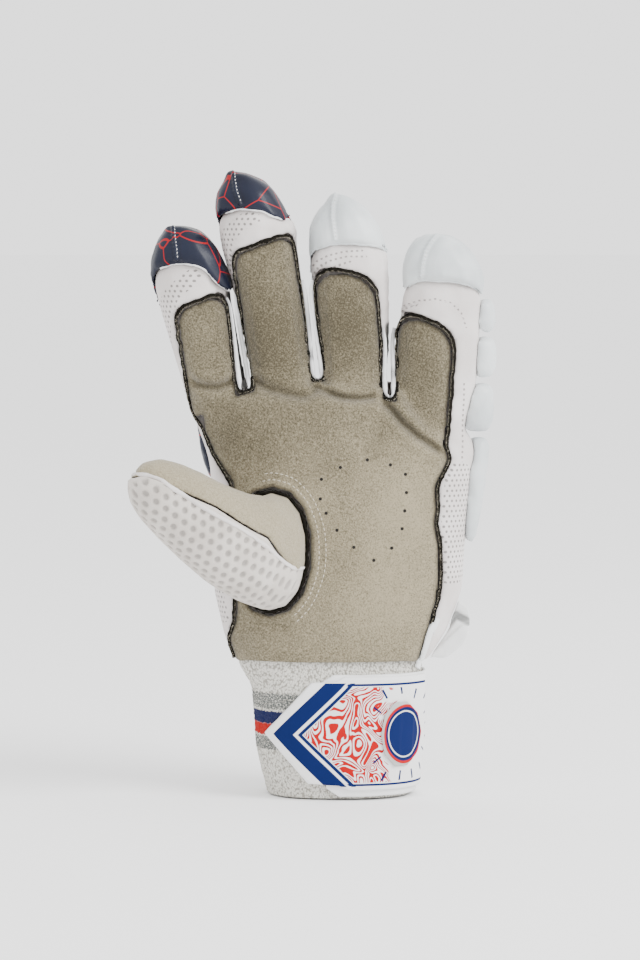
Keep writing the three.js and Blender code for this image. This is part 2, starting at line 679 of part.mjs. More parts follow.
// The cuff's outer form. level is a share of CUFF_HEIGHT, left and right shares of CUFF_WIDTH from the
// hand's middle, deep a share of CUFF_DEPTH. The top row stands inside the hand's hem.
const CUFF_SECTIONS = [
  { level: 0.0, left: 0.365, right: 0.47, deep: 0.49 },
  { level: 0.34, left: 0.43, right: 0.5, deep: 0.5 },
  { level: 0.55, left: 0.44, right: 0.51, deep: 0.5 },
  { level: 0.82, left: 0.46, right: 0.53, deep: 0.49 },
];

function cuffRings(grow) {
  const rings = CUFF_SECTIONS.map(({ level, left, right, deep }) => {
    const half = (left + right) * CUFF_WIDTH / 2 + grow;
    const middle = (right - left) * CUFF_WIDTH / 2;
    const depth = deep * CUFF_DEPTH + grow;
    return section(half, depth, depth, CUFF_SIDES, HAND_SQUARENESS)
      .map(([x, y]) => vec(middle + x, y, level * CUFF_HEIGHT));
  });
  const hem = HAND_SECTIONS[0];
  const inset = HAND_WALL + SEAT_GAP - grow;
  const half = (hem.left + hem.right) * knuckleWidth / 2 - inset;
  const middle = (hem.right - hem.left) * knuckleWidth / 2;
  const front = hem.front * HAND_DEPTH - inset;
  const back = hem.back * HAND_DEPTH - inset;
  for (const level of [CUFF_HEIGHT - 1.5, CUFF_HEIGHT + CUFF_TUCK]) {
    rings.push(section(half, front, back, CUFF_SIDES, HAND_SQUARENESS)
      .map(([x, y]) => vec(middle + x, y, level)));
  }
  return rings;
}

// The cuff's hollow runs out past both of its rims.
function cuffSolid() {
  const bore = cuffRings(-CUFF_WALL);
  const below = bore[0].map((p) => vec(p.x, p.y, -CUFF_WALL));
  const above = bore.at(-1).map((p) => vec(p.x, p.y, p.z + CUFF_WALL));
  return loft(cuffRings(0)).subtract(loft([below, ...bore, above]));
}

// The strap closes the cuff: it comes from the back round the little finger's side and ends on the
// front. across and height are shares of CUFF_WIDTH and STRAP_HEIGHT, measured from its lower edge.
const STRAP_RISE = 0.9;
const STRAP_SEAT = 0.4;
const STRAP_FRONT = [
  { across: -0.06, height: 0.93 }, { across: -0.023, height: 0.072 }, { across: 0.053, height: 0 },
  { across: 1, height: 0 }, { across: 1, height: 1 }, { across: 0.016, height: 1 },
];
const STRAP_BACK = [
  { across: 0.08, height: 0 }, { across: 1, height: 0 },
  { across: 1, height: 1 }, { across: 0.08, height: 1 },
];
const BADGE_EDGE = [
  { across: -0.377, height: 0.49 }, { across: -0.126, height: 0.02 }, { across: 0.053, height: 0 },
  { across: 0.1, height: -0.045 }, { across: 0.55, height: -0.045 }, { across: 0.55, height: 1.045 },
  { across: 0.082, height: 1.045 }, { across: 0.034, height: 1 }, { across: -0.108, height: 0.985 },
];
const BADGE_RISE = 6.2;
const ROUNDEL_PLACE = { across: 0.405, height: 0.49, narrow: 0.6 };

function outline(table, width, height, foot, grow) {
  const corners = table.map((row) => new THREE.Vector2(row.across * width, foot + row.height * height));
  return new THREE.Shape(grownOutline(corners, grow));
}

function strapParts() {
  const front = -2 * CUFF_DEPTH;
  const strapOutline = (table, grow) => outline(table, CUFF_WIDTH, STRAP_HEIGHT, STRAP_RISE, -grow);
  const strapRegion = (grow) => prism(strapOutline(STRAP_FRONT, grow), front, 1)
    .add(prism(strapOutline(STRAP_BACK, grow), 0, -front));
  const strapFace = STRAP_SEAT + STRAP_WALL;
  const badgeSeat = strapFace + SEAM_GAP;
  const badgeFace = badgeSeat + BADGE_WALL;
  const seat = loft(cuffRings(STRAP_SEAT));
  const strap = loft(cuffRings(strapFace)).subtract(seat).intersect(strapRegion(0));
  const covered = loft(cuffRings(badgeSeat)).intersect(strapRegion(SEAM_GAP));
  const badgeOutline = outline(BADGE_EDGE, CUFF_WIDTH, BADGE_HEIGHT, BADGE_RISE, 0);
  const badgeRegion = prism(badgeOutline, front, -CUFF_DEPTH / 12);
  const badge = loft(cuffRings(badgeFace)).subtract(seat).intersect(badgeRegion).subtract(covered);
  const disc = new THREE.Shape();
  disc.absellipse(
    ROUNDEL_PLACE.across * CUFF_WIDTH,
    BADGE_RISE + ROUNDEL_PLACE.height * BADGE_HEIGHT,
    ROUNDEL_RADIUS * ROUNDEL_PLACE.narrow,
    ROUNDEL_RADIUS,
    0,
    2 * Math.PI,
  );
  const roundel = loft(cuffRings(badgeFace + SEAM_GAP + ROUNDEL_WALL))
    .subtract(loft(cuffRings(badgeFace + SEAM_GAP)))
    .intersect(prism(disc, front, -CUFF_DEPTH / 12));
  return { strap, badge, roundel };
}

// The leather flap at the wrist stands off the little finger's side, folded into two lips with a slit
// between them, in shares of the knuckle width and HAND_HEIGHT above the hem.
const FLAP_LIP = 1.4;
const FLAP_SLIT = 1.8;
const FLAP_EDGE = [
  { across: 0.4, height: 0.252 }, { across: 0.34, height: 0.13 }, { across: 0.292, height: 0.008 },
  { across: 0.32, height: -0.03 }, { across: 0.4, height: 0.012 }, { across: 0.452, height: 0.052 },
  { across: 0.474, height: 0.09 }, { across: 0.48, height: 0.136 }, { across: 0.473, height: 0.19 },
  { across: 0.445, height: 0.21 },
];
const FLAP_SLIT_EDGE = [
  { across: 0.335, height: 0.02 }, { across: 0.43, height: 0.16 }, { across: 0.45, height: 0.168 },
  { across: 0.5, height: 0.146 }, { across: 0.5, height: 0.132 }, { across: 0.452, height: 0.128 },
  { across: 0.345, height: 0.02 },
];

function flapSolid() {
  const edge = outline(FLAP_EDGE, knuckleWidth, HAND_HEIGHT, CUFF_HEIGHT, 0);
  const slit = outline(FLAP_SLIT_EDGE, knuckleWidth, HAND_HEIGHT, CUFF_HEIGHT, 0);
  return prism(edge, -FLAP_LIP - FLAP_SLIT, 0)
    .subtract(prism(slit, -2 * FLAP_LIP - FLAP_SLIT, -FLAP_LIP))
    .subtract(grownHand)
    .intersect(halfSpace(vec(0, 0, CUFF_HEIGHT + 1), vec(0, 0, 1)));
}

const glove = new THREE.Group();
const add = (name, solid, material) => glove.add(meshOf(name, solid, material));

add('palm', palm, SUEDE);
add('binding', binding, BLACK_BINDING);
add('back_panel', backPanel, WHITE_LEATHER);
stalls.forEach((stall, i) => add(`${FINGERS[i].name}_stall`, stall, WHITE_LEATHER));
add('thumb_mesh', thumbMesh, WHITE_MESH);
add('thumb_leather', thumbLeather, SUEDE);
FINGERS.forEach((finger, i) => {
  const slot = fingerSlot(i);
  add(`${finger.name}_cap`, capSolid(finger).intersect(slot), finger.navy ? NAVY_LEATHER : WHITE_LEATHER);
  fingerRolls(finger).forEach(([name, solid]) => add(name, solid.intersect(slot), WHITE_LEATHER));
  handRolls(finger, HAND_ROWS[i]).forEach(([name, solid]) => add(name, solid, WHITE_LEATHER));
});
sideBar(FINGERS.at(-1)).forEach(([name, solid]) => add(name, solid, WHITE_LEATHER));
thumbPads().forEach(([name, solid]) => add(name, solid, WHITE_LEATHER));
add('cuff', cuffSolid(), KNIT);
const { strap, badge, roundel } = strapParts();
add('strap', strap, STRAP_WHITE);
add('strap_badge', badge, STRAP_WHITE);
add('badge_roundel', roundel, BADGE_VINYL);
add('wrist_flap', flapSolid(), WHITE_LEATHER);

// The origin stands under the middle of the whole glove, on the cuff's lower rim.
const reach = new THREE.Box3().setFromObject(glove);
const centre = reach.getCenter(new THREE.Vector3());
glove.children.forEach((mesh) => mesh.position.set(-centre.x, -centre.y, -reach.min.z));

export default glove;
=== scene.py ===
# %% [markdown]
# # A batting glove for the left hand
# The glove stands on its knitted cuff with the fingers up and the suede palm to the camera. The packed
# model gives every wall, roll and strap at its real size. This lesson turns those plain solids into suede,
# soft leather, mesh cloth, knitting and moulded vinyl, piece by piece.

import math
import random

import bpy
import numpy as np
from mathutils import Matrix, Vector, noise
from mathutils.bvhtree import BVHTree
from mathutils.kdtree import KDTree


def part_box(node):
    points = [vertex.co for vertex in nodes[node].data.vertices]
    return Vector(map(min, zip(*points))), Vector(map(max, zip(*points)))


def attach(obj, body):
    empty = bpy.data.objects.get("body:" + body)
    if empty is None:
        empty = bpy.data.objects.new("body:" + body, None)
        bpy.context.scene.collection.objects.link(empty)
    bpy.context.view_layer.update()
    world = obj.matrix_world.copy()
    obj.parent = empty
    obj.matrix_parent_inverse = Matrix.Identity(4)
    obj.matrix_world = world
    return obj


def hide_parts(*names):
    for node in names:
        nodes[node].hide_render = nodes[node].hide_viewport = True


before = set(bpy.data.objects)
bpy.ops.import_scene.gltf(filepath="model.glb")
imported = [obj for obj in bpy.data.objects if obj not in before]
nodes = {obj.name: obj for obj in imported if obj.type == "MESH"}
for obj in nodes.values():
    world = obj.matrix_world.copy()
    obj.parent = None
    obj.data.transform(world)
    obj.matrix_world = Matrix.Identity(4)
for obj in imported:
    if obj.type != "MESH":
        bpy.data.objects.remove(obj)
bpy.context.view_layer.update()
MM = 0.001
dice = random.Random(11)
print("solids in the frame:", len(nodes))

# %% [markdown]
# The glove was measured on a sheet with its own zero, under the middle of the knuckles. The cuff's corner
# is known on that sheet, so the difference between the two gives every later point its place.

# %% Where the measured sheet lies in the frame
KNUCKLE_WIDTH = 130.0
HAND_HEIGHT = 123.0
CUFF_HEIGHT = 59.0
CUFF_LOW_CORNER = (-41.17, -24.0)
cuff_low, cuff_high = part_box("cuff")
SHIFT = np.array([cuff_low[0] / MM - CUFF_LOW_CORNER[0], cuff_low[1] / MM - CUFF_LOW_CORNER[1], 0.0])
print("sheet to frame, mm:", SHIFT.round(2))

# %% [markdown]
# Most pieces start in the same way. A copy of the solid has its doubled corners merged, and a voxel remesh
# gives it an even skin that can be pulled smooth. The long flat facets melt into the round forms that
# leather takes over a hand.

# %% Copies, even skins and points as arrays
def select_only(*pieces):
    bpy.ops.object.select_all(action="DESELECT")
    for piece in pieces:
        piece.select_set(True)
    bpy.context.view_layer.objects.active = pieces[0]


def edit_whole(piece, operator, **options):
    select_only(piece)
    bpy.ops.object.mode_set(mode="EDIT")
    bpy.ops.mesh.select_all(action="SELECT")
    operator(**options)
    bpy.ops.object.mode_set(mode="OBJECT")


def copy_of(title, *names):
    copies = []
    for name in names:
        twin = bpy.data.objects.new(title, nodes[name].data.copy())
        bpy.context.scene.collection.objects.link(twin)
        copies.append(twin)
    select_only(*copies)
    if len(copies) > 1:
        bpy.ops.object.join()
    piece = bpy.context.view_layer.objects.active
    piece.name = title
    piece.data.materials.clear()
    edit_whole(piece, bpy.ops.mesh.remove_doubles, threshold=0.00001)
    return piece


def built(title, vertices, faces):
    mesh = bpy.data.meshes.new(title)
    mesh.from_pydata([tuple(v * MM) for v in vertices], [], faces)
    piece = bpy.data.objects.new(title, mesh)
    bpy.context.scene.collection.objects.link(piece)
    edit_whole(piece, bpy.ops.mesh.normals_make_consistent, inside=False)
    return piece


def tube_faces(rings, sides, closed, start=0):
    faces = []
    for i in range(rings if closed else rings - 1):
        this, after = i * sides, (i + 1) % rings * sides
        for k in range(sides):
            beside = (k + 1) % sides
            faces.append((this + k, this + beside, after + beside, after + k))
    if not closed:
        faces.append(tuple(range(sides))[::-1])
        faces.append(tuple((rings - 1) * sides + k for k in range(sides)))
    return [tuple(start + corner for corner in face) for face in faces]


def even_skin(piece, size_mm):
    skin = piece.modifiers.new("Even skin", "REMESH")
    skin.mode = "VOXEL"
    skin.voxel_size = size_mm * MM
    select_only(piece)
    bpy.ops.object.modifier_apply(modifier=skin.name)
    return piece


def points_of(piece):
    flat = np.empty(len(piece.data.vertices) * 3)
    piece.data.vertices.foreach_get("co", flat)
    return flat.reshape(-1, 3) / MM


def place_points(piece, points):
    piece.data.vertices.foreach_set("co", (points * MM).ravel())
    piece.data.update()


def normals_of(piece):
    flat = np.empty(len(piece.data.vertices) * 3)
    piece.data.vertices.foreach_get("normal", flat)
    return flat.reshape(-1, 3)


def edges_of(piece):
    flat = np.empty(len(piece.data.edges) * 2, dtype=np.int64)
    piece.data.edges.foreach_get("vertices", flat)
    return flat.reshape(-1, 2)


def columns(*values):
    return np.stack(np.broadcast_arrays(*values), axis=1)


def lengths_of(vectors):
    return np.linalg.norm(vectors, axis=1)


def hill(away, wide):
    return np.exp(-((away / wide) ** 2))


def smoothstep(value, low, high):
    share = np.clip((value - low) / (high - low), 0.0, 1.0)
    return share * share * (3.0 - 2.0 * share)


def relaxed(points, edges, times, weight=1.0):
    count = np.bincount(edges.ravel(), minlength=len(points))
    count = np.maximum(count, 1)[:, None]
    pull = 0.5 * np.broadcast_to(weight, len(points))[:, None]
    for _ in range(times):
        total = np.empty_like(points)
        for axis in range(3):
            total[:, axis] = np.bincount(edges[:, 0], points[edges[:, 1], axis], len(points))
            total[:, axis] += np.bincount(edges[:, 1], points[edges[:, 0], axis], len(points))
        points = points + (total / count - points) * pull
    return points


def lumps(points, size_mm, seed=0.0):
    step = 1.0 / size_mm
    offset = Vector((seed, seed * 1.7, seed * 0.3))
    return np.array([noise.noise(Vector(p) * step + offset) for p in points])


def write_map(piece, name, values):
    values = np.asarray(values, dtype=np.float32)
    kind = "FLOAT" if values.ndim == 1 else "FLOAT_VECTOR"
    layer = piece.data.attributes.new(name, kind, "POINT")
    layer.data.foreach_set("value" if values.ndim == 1 else "vector", values.ravel())


def shade_smooth(piece):
    piece.data.polygons.foreach_set("use_smooth", np.ones(len(piece.data.polygons), dtype=bool))
    piece.data.update()


def stands_for(piece, material, slot, *names):
    piece.data.materials.clear()
    piece.data.materials.append(material)
    shade_smooth(piece)
    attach(piece, "root")
    if names:
        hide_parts(*names)
    triangles = sum(len(face.vertices) - 2 for face in piece.data.polygons)
    print(piece.name, "triangles:", triangles)


# %% [markdown]
# Some numbers come off the photograph of such a glove, in its pixels. One helper turns a pixel into the
# sheet's width and height, so a crease or a seam can be listed as it is seen.

# %% Pixels to millimetres
MM_PER_PIXEL = 0.44


def seen_at(column, row):
    return np.array([(column - 330.0) * MM_PER_PIXEL + SHIFT[0], (798.0 - row) * MM_PER_PIXEL])


def seen_line(*pixels):
    return np.array([seen_at(*pixel) for pixel in pixels])


LINE_STEP = 0.5


def travelled_along(line):
    return np.concatenate([[0.0], np.cumsum(lengths_of(np.diff(line, axis=0)))])


def spaced(line, step=LINE_STEP, closed=False):
    line = np.asarray(line, dtype=float)
    if closed:
        line = np.vstack([line, line[:1]])
    travelled = travelled_along(line)
    count = max(int(round(travelled[-1] / step)), 2)
    wanted = np.linspace(0.0, travelled[-1], count + 1)
    if closed:
        wanted = wanted[:-1]
    return columns(*(np.interp(wanted, travelled, line[:, axis]) for axis in range(line.shape[1])))


def nearest_on_line(points, line):
    best, way, along = np.full(len(points), 1e9), np.zeros((len(points), 2)), np.zeros(len(points))
    travelled = 0.0
    for start, end in zip(line[:-1], line[1:]):
        step = end - start
        share = np.clip(((points - start) @ step) / (step @ step), 0.0, 1.0)
        gap = start + share[:, None] * step - points
        away = lengths_of(gap)
        nearer = away < best
        best[nearer], way[nearer] = away[nearer], gap[nearer]
        along[nearer] = travelled + share[nearer] * np.linalg.norm(step)
        travelled += np.linalg.norm(step)
    return best, way, along


def distance_to_line(points, line):
    return nearest_on_line(points, line)[0]


print("the palm's middle on the sheet:", seen_at(330, 500).round(1))

# %% [markdown]
# ## Finishes
# A finish is drawn by nodes. Each node output is wrapped as a value that can be added and multiplied like
# a number, so the lines below read as the sums they are.

# %% Values made by nodes
class Value:
    def __init__(self, tree, socket):
        self.tree, self.socket = tree, socket

    def __add__(self, other):
        return math_node("ADD", self, other)

    def __sub__(self, other):
        return math_node("SUBTRACT", self, other)

    def __mul__(self, other):
        return math_node("MULTIPLY", self, other)

    def __truediv__(self, other):
        return math_node("DIVIDE", self, other)

    def __rsub__(self, other):
        return math_node("SUBTRACT", other, self)

    def __rtruediv__(self, other):
        return math_node("DIVIDE", other, self)

    def __abs__(self):
        return math_node("ABSOLUTE", self)


def feed(socket, value):
    if isinstance(value, Value):
        value.tree.links.new(value.socket, socket)
    elif value is not None:
        socket.default_value = value


def new_node(tree, kind, **inputs):
    node = tree.nodes.new(f"ShaderNode{kind}")
    for name, value in inputs.items():
        feed(node.inputs[name.replace("_", " ")], value)
    return node


def fed_in_order(node, values):
    for socket, value in zip(node.inputs, values):
        feed(socket, value)
    return node


def math_node(operation, *values):
    tree = next(value.tree for value in values if isinstance(value, Value))
    node = new_node(tree, "Math")
    node.operation = operation
    return Value(tree, fed_in_order(node, values).outputs[0])


def vector_node(operation, *values):
    node = new_node(values[0].tree, "VectorMath")
    node.operation = operation
    fed_in_order(node, values)
    return Value(values[0].tree, node.outputs["Value" if operation in ("LENGTH", "DISTANCE") else 0])


def parts_of(vector):
    node = new_node(vector.tree, "SeparateXYZ", Vector=vector)
    return [Value(vector.tree, socket) for socket in node.outputs]


def ramp(value, low, high, start=0.0, end=1.0):
    node = new_node(value.tree, "MapRange", From_Min=low, From_Max=high, To_Min=start, To_Max=end, Value=value)
    node.interpolation_type = "SMOOTHSTEP"
    return Value(value.tree, node.outputs["Result"])


def between(value, low, high, soft=0.12):
    return ramp(value, low - soft, low + soft) * ramp(value, high + soft, high - soft)


def mixed(share, a, b):
    node = new_node(share.tree, "Mix")
    node.data_type = "RGBA"
    for name, value in zip(("Factor", "A", "B"), (share, a, b)):
        feed(node.inputs[name], value)
    return Value(share.tree, node.outputs["Result"])


def noise_value(vector, scale, detail=2.0, roughness=0.5, distortion=0.0):
    node = new_node(vector.tree, "TexNoise", Vector=vector, Scale=scale, Detail=detail, Roughness=roughness,
                    Distortion=distortion)
    return Value(vector.tree, node.outputs["Fac"])


def cell_distance(vector, scale, feature="F1"):
    node = new_node(vector.tree, "TexVoronoi", Vector=vector, Scale=scale)
    node.feature = feature
    return Value(vector.tree, node.outputs["Distance"])


def millimetres(tree):
    node = new_node(tree, "VectorMath")
    node.operation = "SCALE"
    node.inputs["Scale"].default_value = 1.0 / MM
    tree.links.new(new_node(tree, "TexCoord").outputs["Object"], node.inputs[0])
    return Value(tree, node.outputs[0])


def read_map(tree, name, kind="Fac"):
    node = new_node(tree, "Attribute")
    node.attribute_name = name
    return Value(tree, node.outputs[kind])


def new_group(title, inputs, outputs):
    tree = bpy.data.node_groups.new(title, "ShaderNodeTree")
    for name, value in inputs.items():
        kind = "NodeSocketVector" if value is None else "NodeSocketFloat"
        socket = tree.interface.new_socket(name, in_out="INPUT", socket_type=kind)
        if value is not None:
            socket.default_value = value
    for name in outputs:
        tree.interface.new_socket(name, in_out="OUTPUT", socket_type="NodeSocketFloat")
    given = tree.nodes.new("NodeGroupInput")
    return tree, [Value(tree, given.outputs[name]) for name in inputs], tree.nodes.new("NodeGroupOutput").inputs


def apply_group(group, vector, **values):
    node = new_node(vector.tree, "Group")
    node.node_tree = group
    for name, value in dict(Vector=vector, **values).items():
        feed(node.inputs[name], value)
    return {socket.name: Value(vector.tree, socket) for socket in node.outputs}


def new_material(title, roughness, sheen=0.0, coat=0.0, specular=0.5):
    material = bpy.data.materials.new(title)
    material.use_nodes = True
    shader = material.node_tree.nodes["Principled BSDF"]
    looks = {"Roughness": roughness, "Sheen Weight": sheen, "Coat Weight": coat, "Specular IOR Level": specular}
    for name, value in looks.items():
        shader.inputs[name].default_value = value
    return material, material.node_tree


def finished(material, colour, height=None, depth_mm=0.1, strength=1.0):
    tree = material.node_tree
    shader = tree.nodes["Principled BSDF"]
    feed(shader.inputs["Base Color"], colour)
    if height is not None:
        relief = new_node(tree, "Bump", Strength=strength, Distance=depth_mm * MM, Height=height)
        tree.links.new(relief.outputs["Normal"], shader.inputs["Normal"])
    return material


def paint(red, green, blue):
    return (red, green, blue, 1.0)


print("node helpers ready")

# %% [markdown]
# **Leather grain** is a net of small pebbles with a few long folds between them. Voronoi cells give the
# pebbles, and a stretched noise gives the folds.

# %% Leather grain
def build_grain():
    group, (place, pebble, folds), out = new_group(
        "Leather grain", {"Vector": None, "Pebble": 0.7, "Folds": 0.5}, ("Height", "Tint")
    )
    creases = ramp(abs(noise_value(place, 0.22, 3.0, 0.55, 0.6) - 0.5), 0.0, 0.06)
    feed(out["Height"], creases * folds - cell_distance(place, 1.0 / pebble) * 0.35)
    feed(out["Tint"], noise_value(place, 0.05))
    return group


GRAIN = build_grain()
print("group:", GRAIN.name)

# %% [markdown]
# **Perforations** sit in a hexagonal net. Two square nets, one shifted by half a step, make it: the nearer
# of the two centres gives the distance to the nearest hole.

# %% Perforated net
def build_net():
    group, (place, pitch, hole), out = new_group(
        "Perforated net", {"Vector": None, "Pitch": 2.4, "Hole": 0.55}, ("Mask",)
    )
    steps = Value(group, new_node(group, "CombineXYZ", X=pitch, Y=pitch * math.sqrt(3), Z=1.0).outputs[0])
    nearest = []
    for part in ((0.0, 0.0, 0.0), (0.5, 0.5, 0.0)):
        cell = vector_node("FRACTION", vector_node("ADD", vector_node("DIVIDE", place, steps), part))
        cell = vector_node("MULTIPLY", vector_node("SUBTRACT", cell, (0.5, 0.5, 0.0)), steps)
        nearest.append(vector_node("LENGTH", vector_node("MULTIPLY", cell, (1.0, 1.0, 0.0))))
    feed(out["Mask"], ramp(math_node("MINIMUM", *nearest), hole, hole * 0.72))
    return group


NET = build_net()
print("group:", NET.name)

# %% [markdown]
# Fourteen small **vent holes** stand in a loose oval on the palm. They were punched by hand, so each has its
# own listed place. The group measures the way to every one and keeps the shortest.

# %% Ring of vent holes
VENT_PLACES = seen_line(
    (367, 459), (390, 464), (405, 473.5), (406, 491.7), (404.3, 510), (401.7, 527.8), (391.3, 547), (373.5, 559),
    (353.5, 546), (336.7, 529), (326, 512), (320.2, 497.8), (321.3, 478.3), (340.2, 466.5),
)


def build_vents():
    group, (place,), out = new_group("Ring of vents", {"Vector": None}, ("Mask",))
    flat = vector_node("MULTIPLY", place, (1.0, 0.0, 1.0))
    away = 99.0
    for x, z in VENT_PLACES:
        away = math_node("MINIMUM", vector_node("DISTANCE", flat, (float(x), 0.0, float(z))), away)
    front = ramp(parts_of(place)[1], float(SHIFT[1]), float(SHIFT[1]) - 2.0)
    feed(out["Mask"], ramp(away, 0.85, 0.6) * front)
    return group


VENTS = build_vents()
print("group:", VENTS.name)

# %% [markdown]
# ** Suede** is leather brushed to a short nap. Up close it is a field of tiny fibres that catch the light
# or lie in shade, and it goes lighter and darker in soft clouds, on the palm also darker over the fingers.

# %% Suede
def build_suede(title, dark, light, of_palm=False):
    material, tree = new_material(title, 0.95, sheen=0.25, specular=0.15)
    place = millimetres(tree)
    fibres = noise_value(place, 2.6, 3.0, 0.7)
    specks = noise_value(vector_node("MULTIPLY", place, (1.0, 1.0, 0.9)), 1.4, 3.0, 0.75)
    share = fibres * 0.40 + specks * 0.90 + noise_value(place, 0.045, 3.0, 0.55, 0.4) * 0.17
    height = fibres + specks * 1.6
    if of_palm:
        share = share + read_map(tree, "suede_tone") * 0.13
    colour = mixed(ramp(share, 0.48, 0.97), dark, light)
    if of_palm:
        # Painted shade: the edge map darkens the suede next to its binding and in its creases and dents.
        colour = mixed(read_map(tree, "edge"), colour, paint(*(0.45 * c for c in dark[:3])))
        vents = apply_group(VENTS, place)["Mask"]
        # The vent holes are painted near black: painted shade inside them.
        colour = mixed(vents, colour, paint(0.012, 0.010, 0.008))
        height = height - vents * 6.0
    return finished(material, colour, height, 0.28, 0.75)


SUEDE = build_suede("Palm suede", paint(0.064, 0.053, 0.031), paint(0.314, 0.270, 0.180), of_palm=True)
THUMB_SUEDE = build_suede("Thumb suede", paint(0.225, 0.190, 0.123), paint(0.392, 0.342, 0.240))
print("suede ready")

# %% [markdown]
# **White leather** covers the rolls and the finger sides. A perforated version reads a painted map, so
# that the holes stay in the panels that have them.

# %% White leather, plain and perforated
# Painted shade: dark colours inside the perforations and needle holes, and in the folds that the shade map marks.
HOLE_SHADE, NEEDLE_HOLE_SHADE, FOLD_DARK = paint(0.13, 0.12, 0.11), paint(0.17, 0.15, 0.14), paint(0.050, 0.050, 0.047)


def build_leather(title, shade, tint, roughness, pebble=0.7, folds=0.35, perforated=False, shaded=False):
    material, tree = new_material(title, roughness, specular=0.4)
    grain = apply_group(GRAIN, millimetres(tree), Pebble=pebble, Folds=folds)
    colour = mixed(ramp(grain["Tint"], 0.35, 0.68), shade, tint)
    height = grain["Height"]
    if perforated:
        along, away, _ = parts_of(read_map(tree, "rows", "Vector"))
        centred = abs(math_node("FRACT", along / 2.3) - 0.5)
        dash = ramp(centred, 0.26, 0.16) * ramp(away, 0.5, 0.3)
        holes = apply_group(NET, read_map(tree, "weave", "Vector"), Pitch=2.6, Hole=0.66)["Mask"]
        holes = holes * ramp(read_map(tree, "perforated"), 0.45, 0.55)
        # Holes and needle dashes are painted in shade.
        colour = mixed(holes * 0.8, mixed(dash * 0.75, colour, NEEDLE_HOLE_SHADE), HOLE_SHADE)
        height = height - dash * 3.0 - holes * 4.0
    if shaded:
        colour = mixed(read_map(tree, "shade"), colour, FOLD_DARK)
    return finished(material, colour, height, 0.12, 0.6)


WHITE = build_leather("White leather", paint(0.70, 0.70, 0.705), paint(0.83, 0.83, 0.83), 0.5)
COOL_WHITE = build_leather("Cap leather", paint(0.50, 0.535, 0.545), paint(0.64, 0.675, 0.68), 0.42)
WARM_WHITE = build_leather(
    "Perforated white cloth", paint(0.60, 0.555, 0.535), paint(0.72, 0.675, 0.655), 0.75, 0.5, 0.5,
    perforated=True, shaded=True,
)
FLAP_WHITE = build_leather("Flap leather", paint(0.66, 0.67, 0.665), paint(0.80, 0.81, 0.80), 0.5, shaded=True)
WARM_PLAIN = build_leather("Hem cloth", paint(0.62, 0.585, 0.565), paint(0.70, 0.665, 0.645), 0.75, 0.5, 0.3)
print("leathers ready")

# %% [markdown]
# The two navy tips carry a net of thin red lines. Distances to the edges of large Voronoi cells draw such a
# net without any picture, and a fine width keeps it as thin as print.

# %% Navy leather with a red net
def build_navy():
    material, tree = new_material("Navy leather", 0.38, coat=0.04, specular=0.2)
    place = millimetres(tree)
    grain = apply_group(GRAIN, place, Pebble=0.5, Folds=0.25)
    line = ramp(cell_distance(place, 0.056, "DISTANCE_TO_EDGE"), 0.017, 0.009)
    base = mixed(ramp(grain["Tint"], 0.3, 0.7), paint(0.0035, 0.0050, 0.014), paint(0.008, 0.011, 0.026))
    return finished(material, mixed(line, base, paint(0.30, 0.003, 0.005)), grain["Height"], 0.08, 0.5)


NAVY = build_navy()
print("material:", NAVY.name)

# %% [markdown]
# Thread, the binding and cut edges are matt and have no grain, only specks between two tones.

# %% Thread, binding and plain dark cloth
def build_plain(title, shade, tint, roughness, speck_mm, depth_mm, sheen=0.0):
    material, tree = new_material(title, roughness, sheen=sheen, specular=0.05)
    specks = noise_value(millimetres(tree), 1.0 / speck_mm, 3.0, 0.6)
    return finished(material, mixed(ramp(specks, 0.35, 0.65), shade, tint), specks, depth_mm, 0.8)


BINDING = build_plain("Black binding", paint(0.002, 0.002, 0.0015), paint(0.014, 0.012, 0.009), 0.95, 0.5, 0.3)
WHITE_THREAD = build_plain("White thread", paint(0.55, 0.53, 0.52), paint(0.80, 0.79, 0.78), 0.7, 0.25, 0.05)
SUEDE_THREAD = build_plain("Suede thread", paint(0.46, 0.42, 0.34), paint(0.60, 0.56, 0.47), 0.8, 0.25, 0.05)
RAW_EDGE = build_plain("Raw suede edge", paint(0.24, 0.21, 0.15), paint(0.60, 0.55, 0.45), 0.9, 0.8, 0.3, 0.1)
print("thread and binding ready")

# %% [markdown]
# ## The hand
# The palm and the finger fronts are one suede wall, and the back, the sides and the finger stalls are
# white. Where two walls meet, the rim stays where the seam is, and everything further in is relaxed until
# the facets are gone. The weight of each point comes from its distance to the neighbouring walls.

# %% Relaxing a wall inside its rims
RAY_START, RAY_REACH = -0.2, 0.3


def tree_of_piece(piece):
    mesh = piece.data
    return BVHTree.FromPolygons([v.co.copy() for v in mesh.vertices], [tuple(f.vertices) for f in mesh.polygons])


def tree_of(name):
    return tree_of_piece(nodes[name])


def front_hit(trees, x, z, reach=RAY_REACH):
    hits = [tree.ray_cast(Vector((x * MM, RAY_START, z * MM)), Vector((0, 1, 0)), reach) for tree in trees]
    return min((hit for hit in hits if hit[0] is not None), key=lambda hit: hit[3], default=None)


def inner_weight(points, guards, near_mm, far_mm, least=0.1):
    away = np.full(len(points), far_mm)
    for name in guards:
        tree = tree_of(name)
        reach = far_mm * MM
        for i, point in enumerate(points):
            hit = tree.find_nearest(Vector(point * MM), reach)
            if hit[3] is not None:
                away[i] = min(away[i], hit[3] / MM)
    return np.maximum(smoothstep(away, near_mm, far_mm), least), away


def softened_wall(title, names, guards, size_mm, times):
    piece = even_skin(copy_of(title, *names), size_mm)
    points = points_of(piece)
    weight, away = inner_weight(points, guards, 0.6, 4.5)
    edges = edges_of(piece)
    points = relaxed(points, edges, 4)
    points = relaxed(points, edges, times, weight)
    place_points(piece, points)
    return piece, away


print("wall helper ready")

# %% [markdown]
# Suede folds where the hand closes: a crease under each finger and one long diagonal below the little
# finger. Each crease is a line on the photograph, and the wall sinks along it and swells beside it.

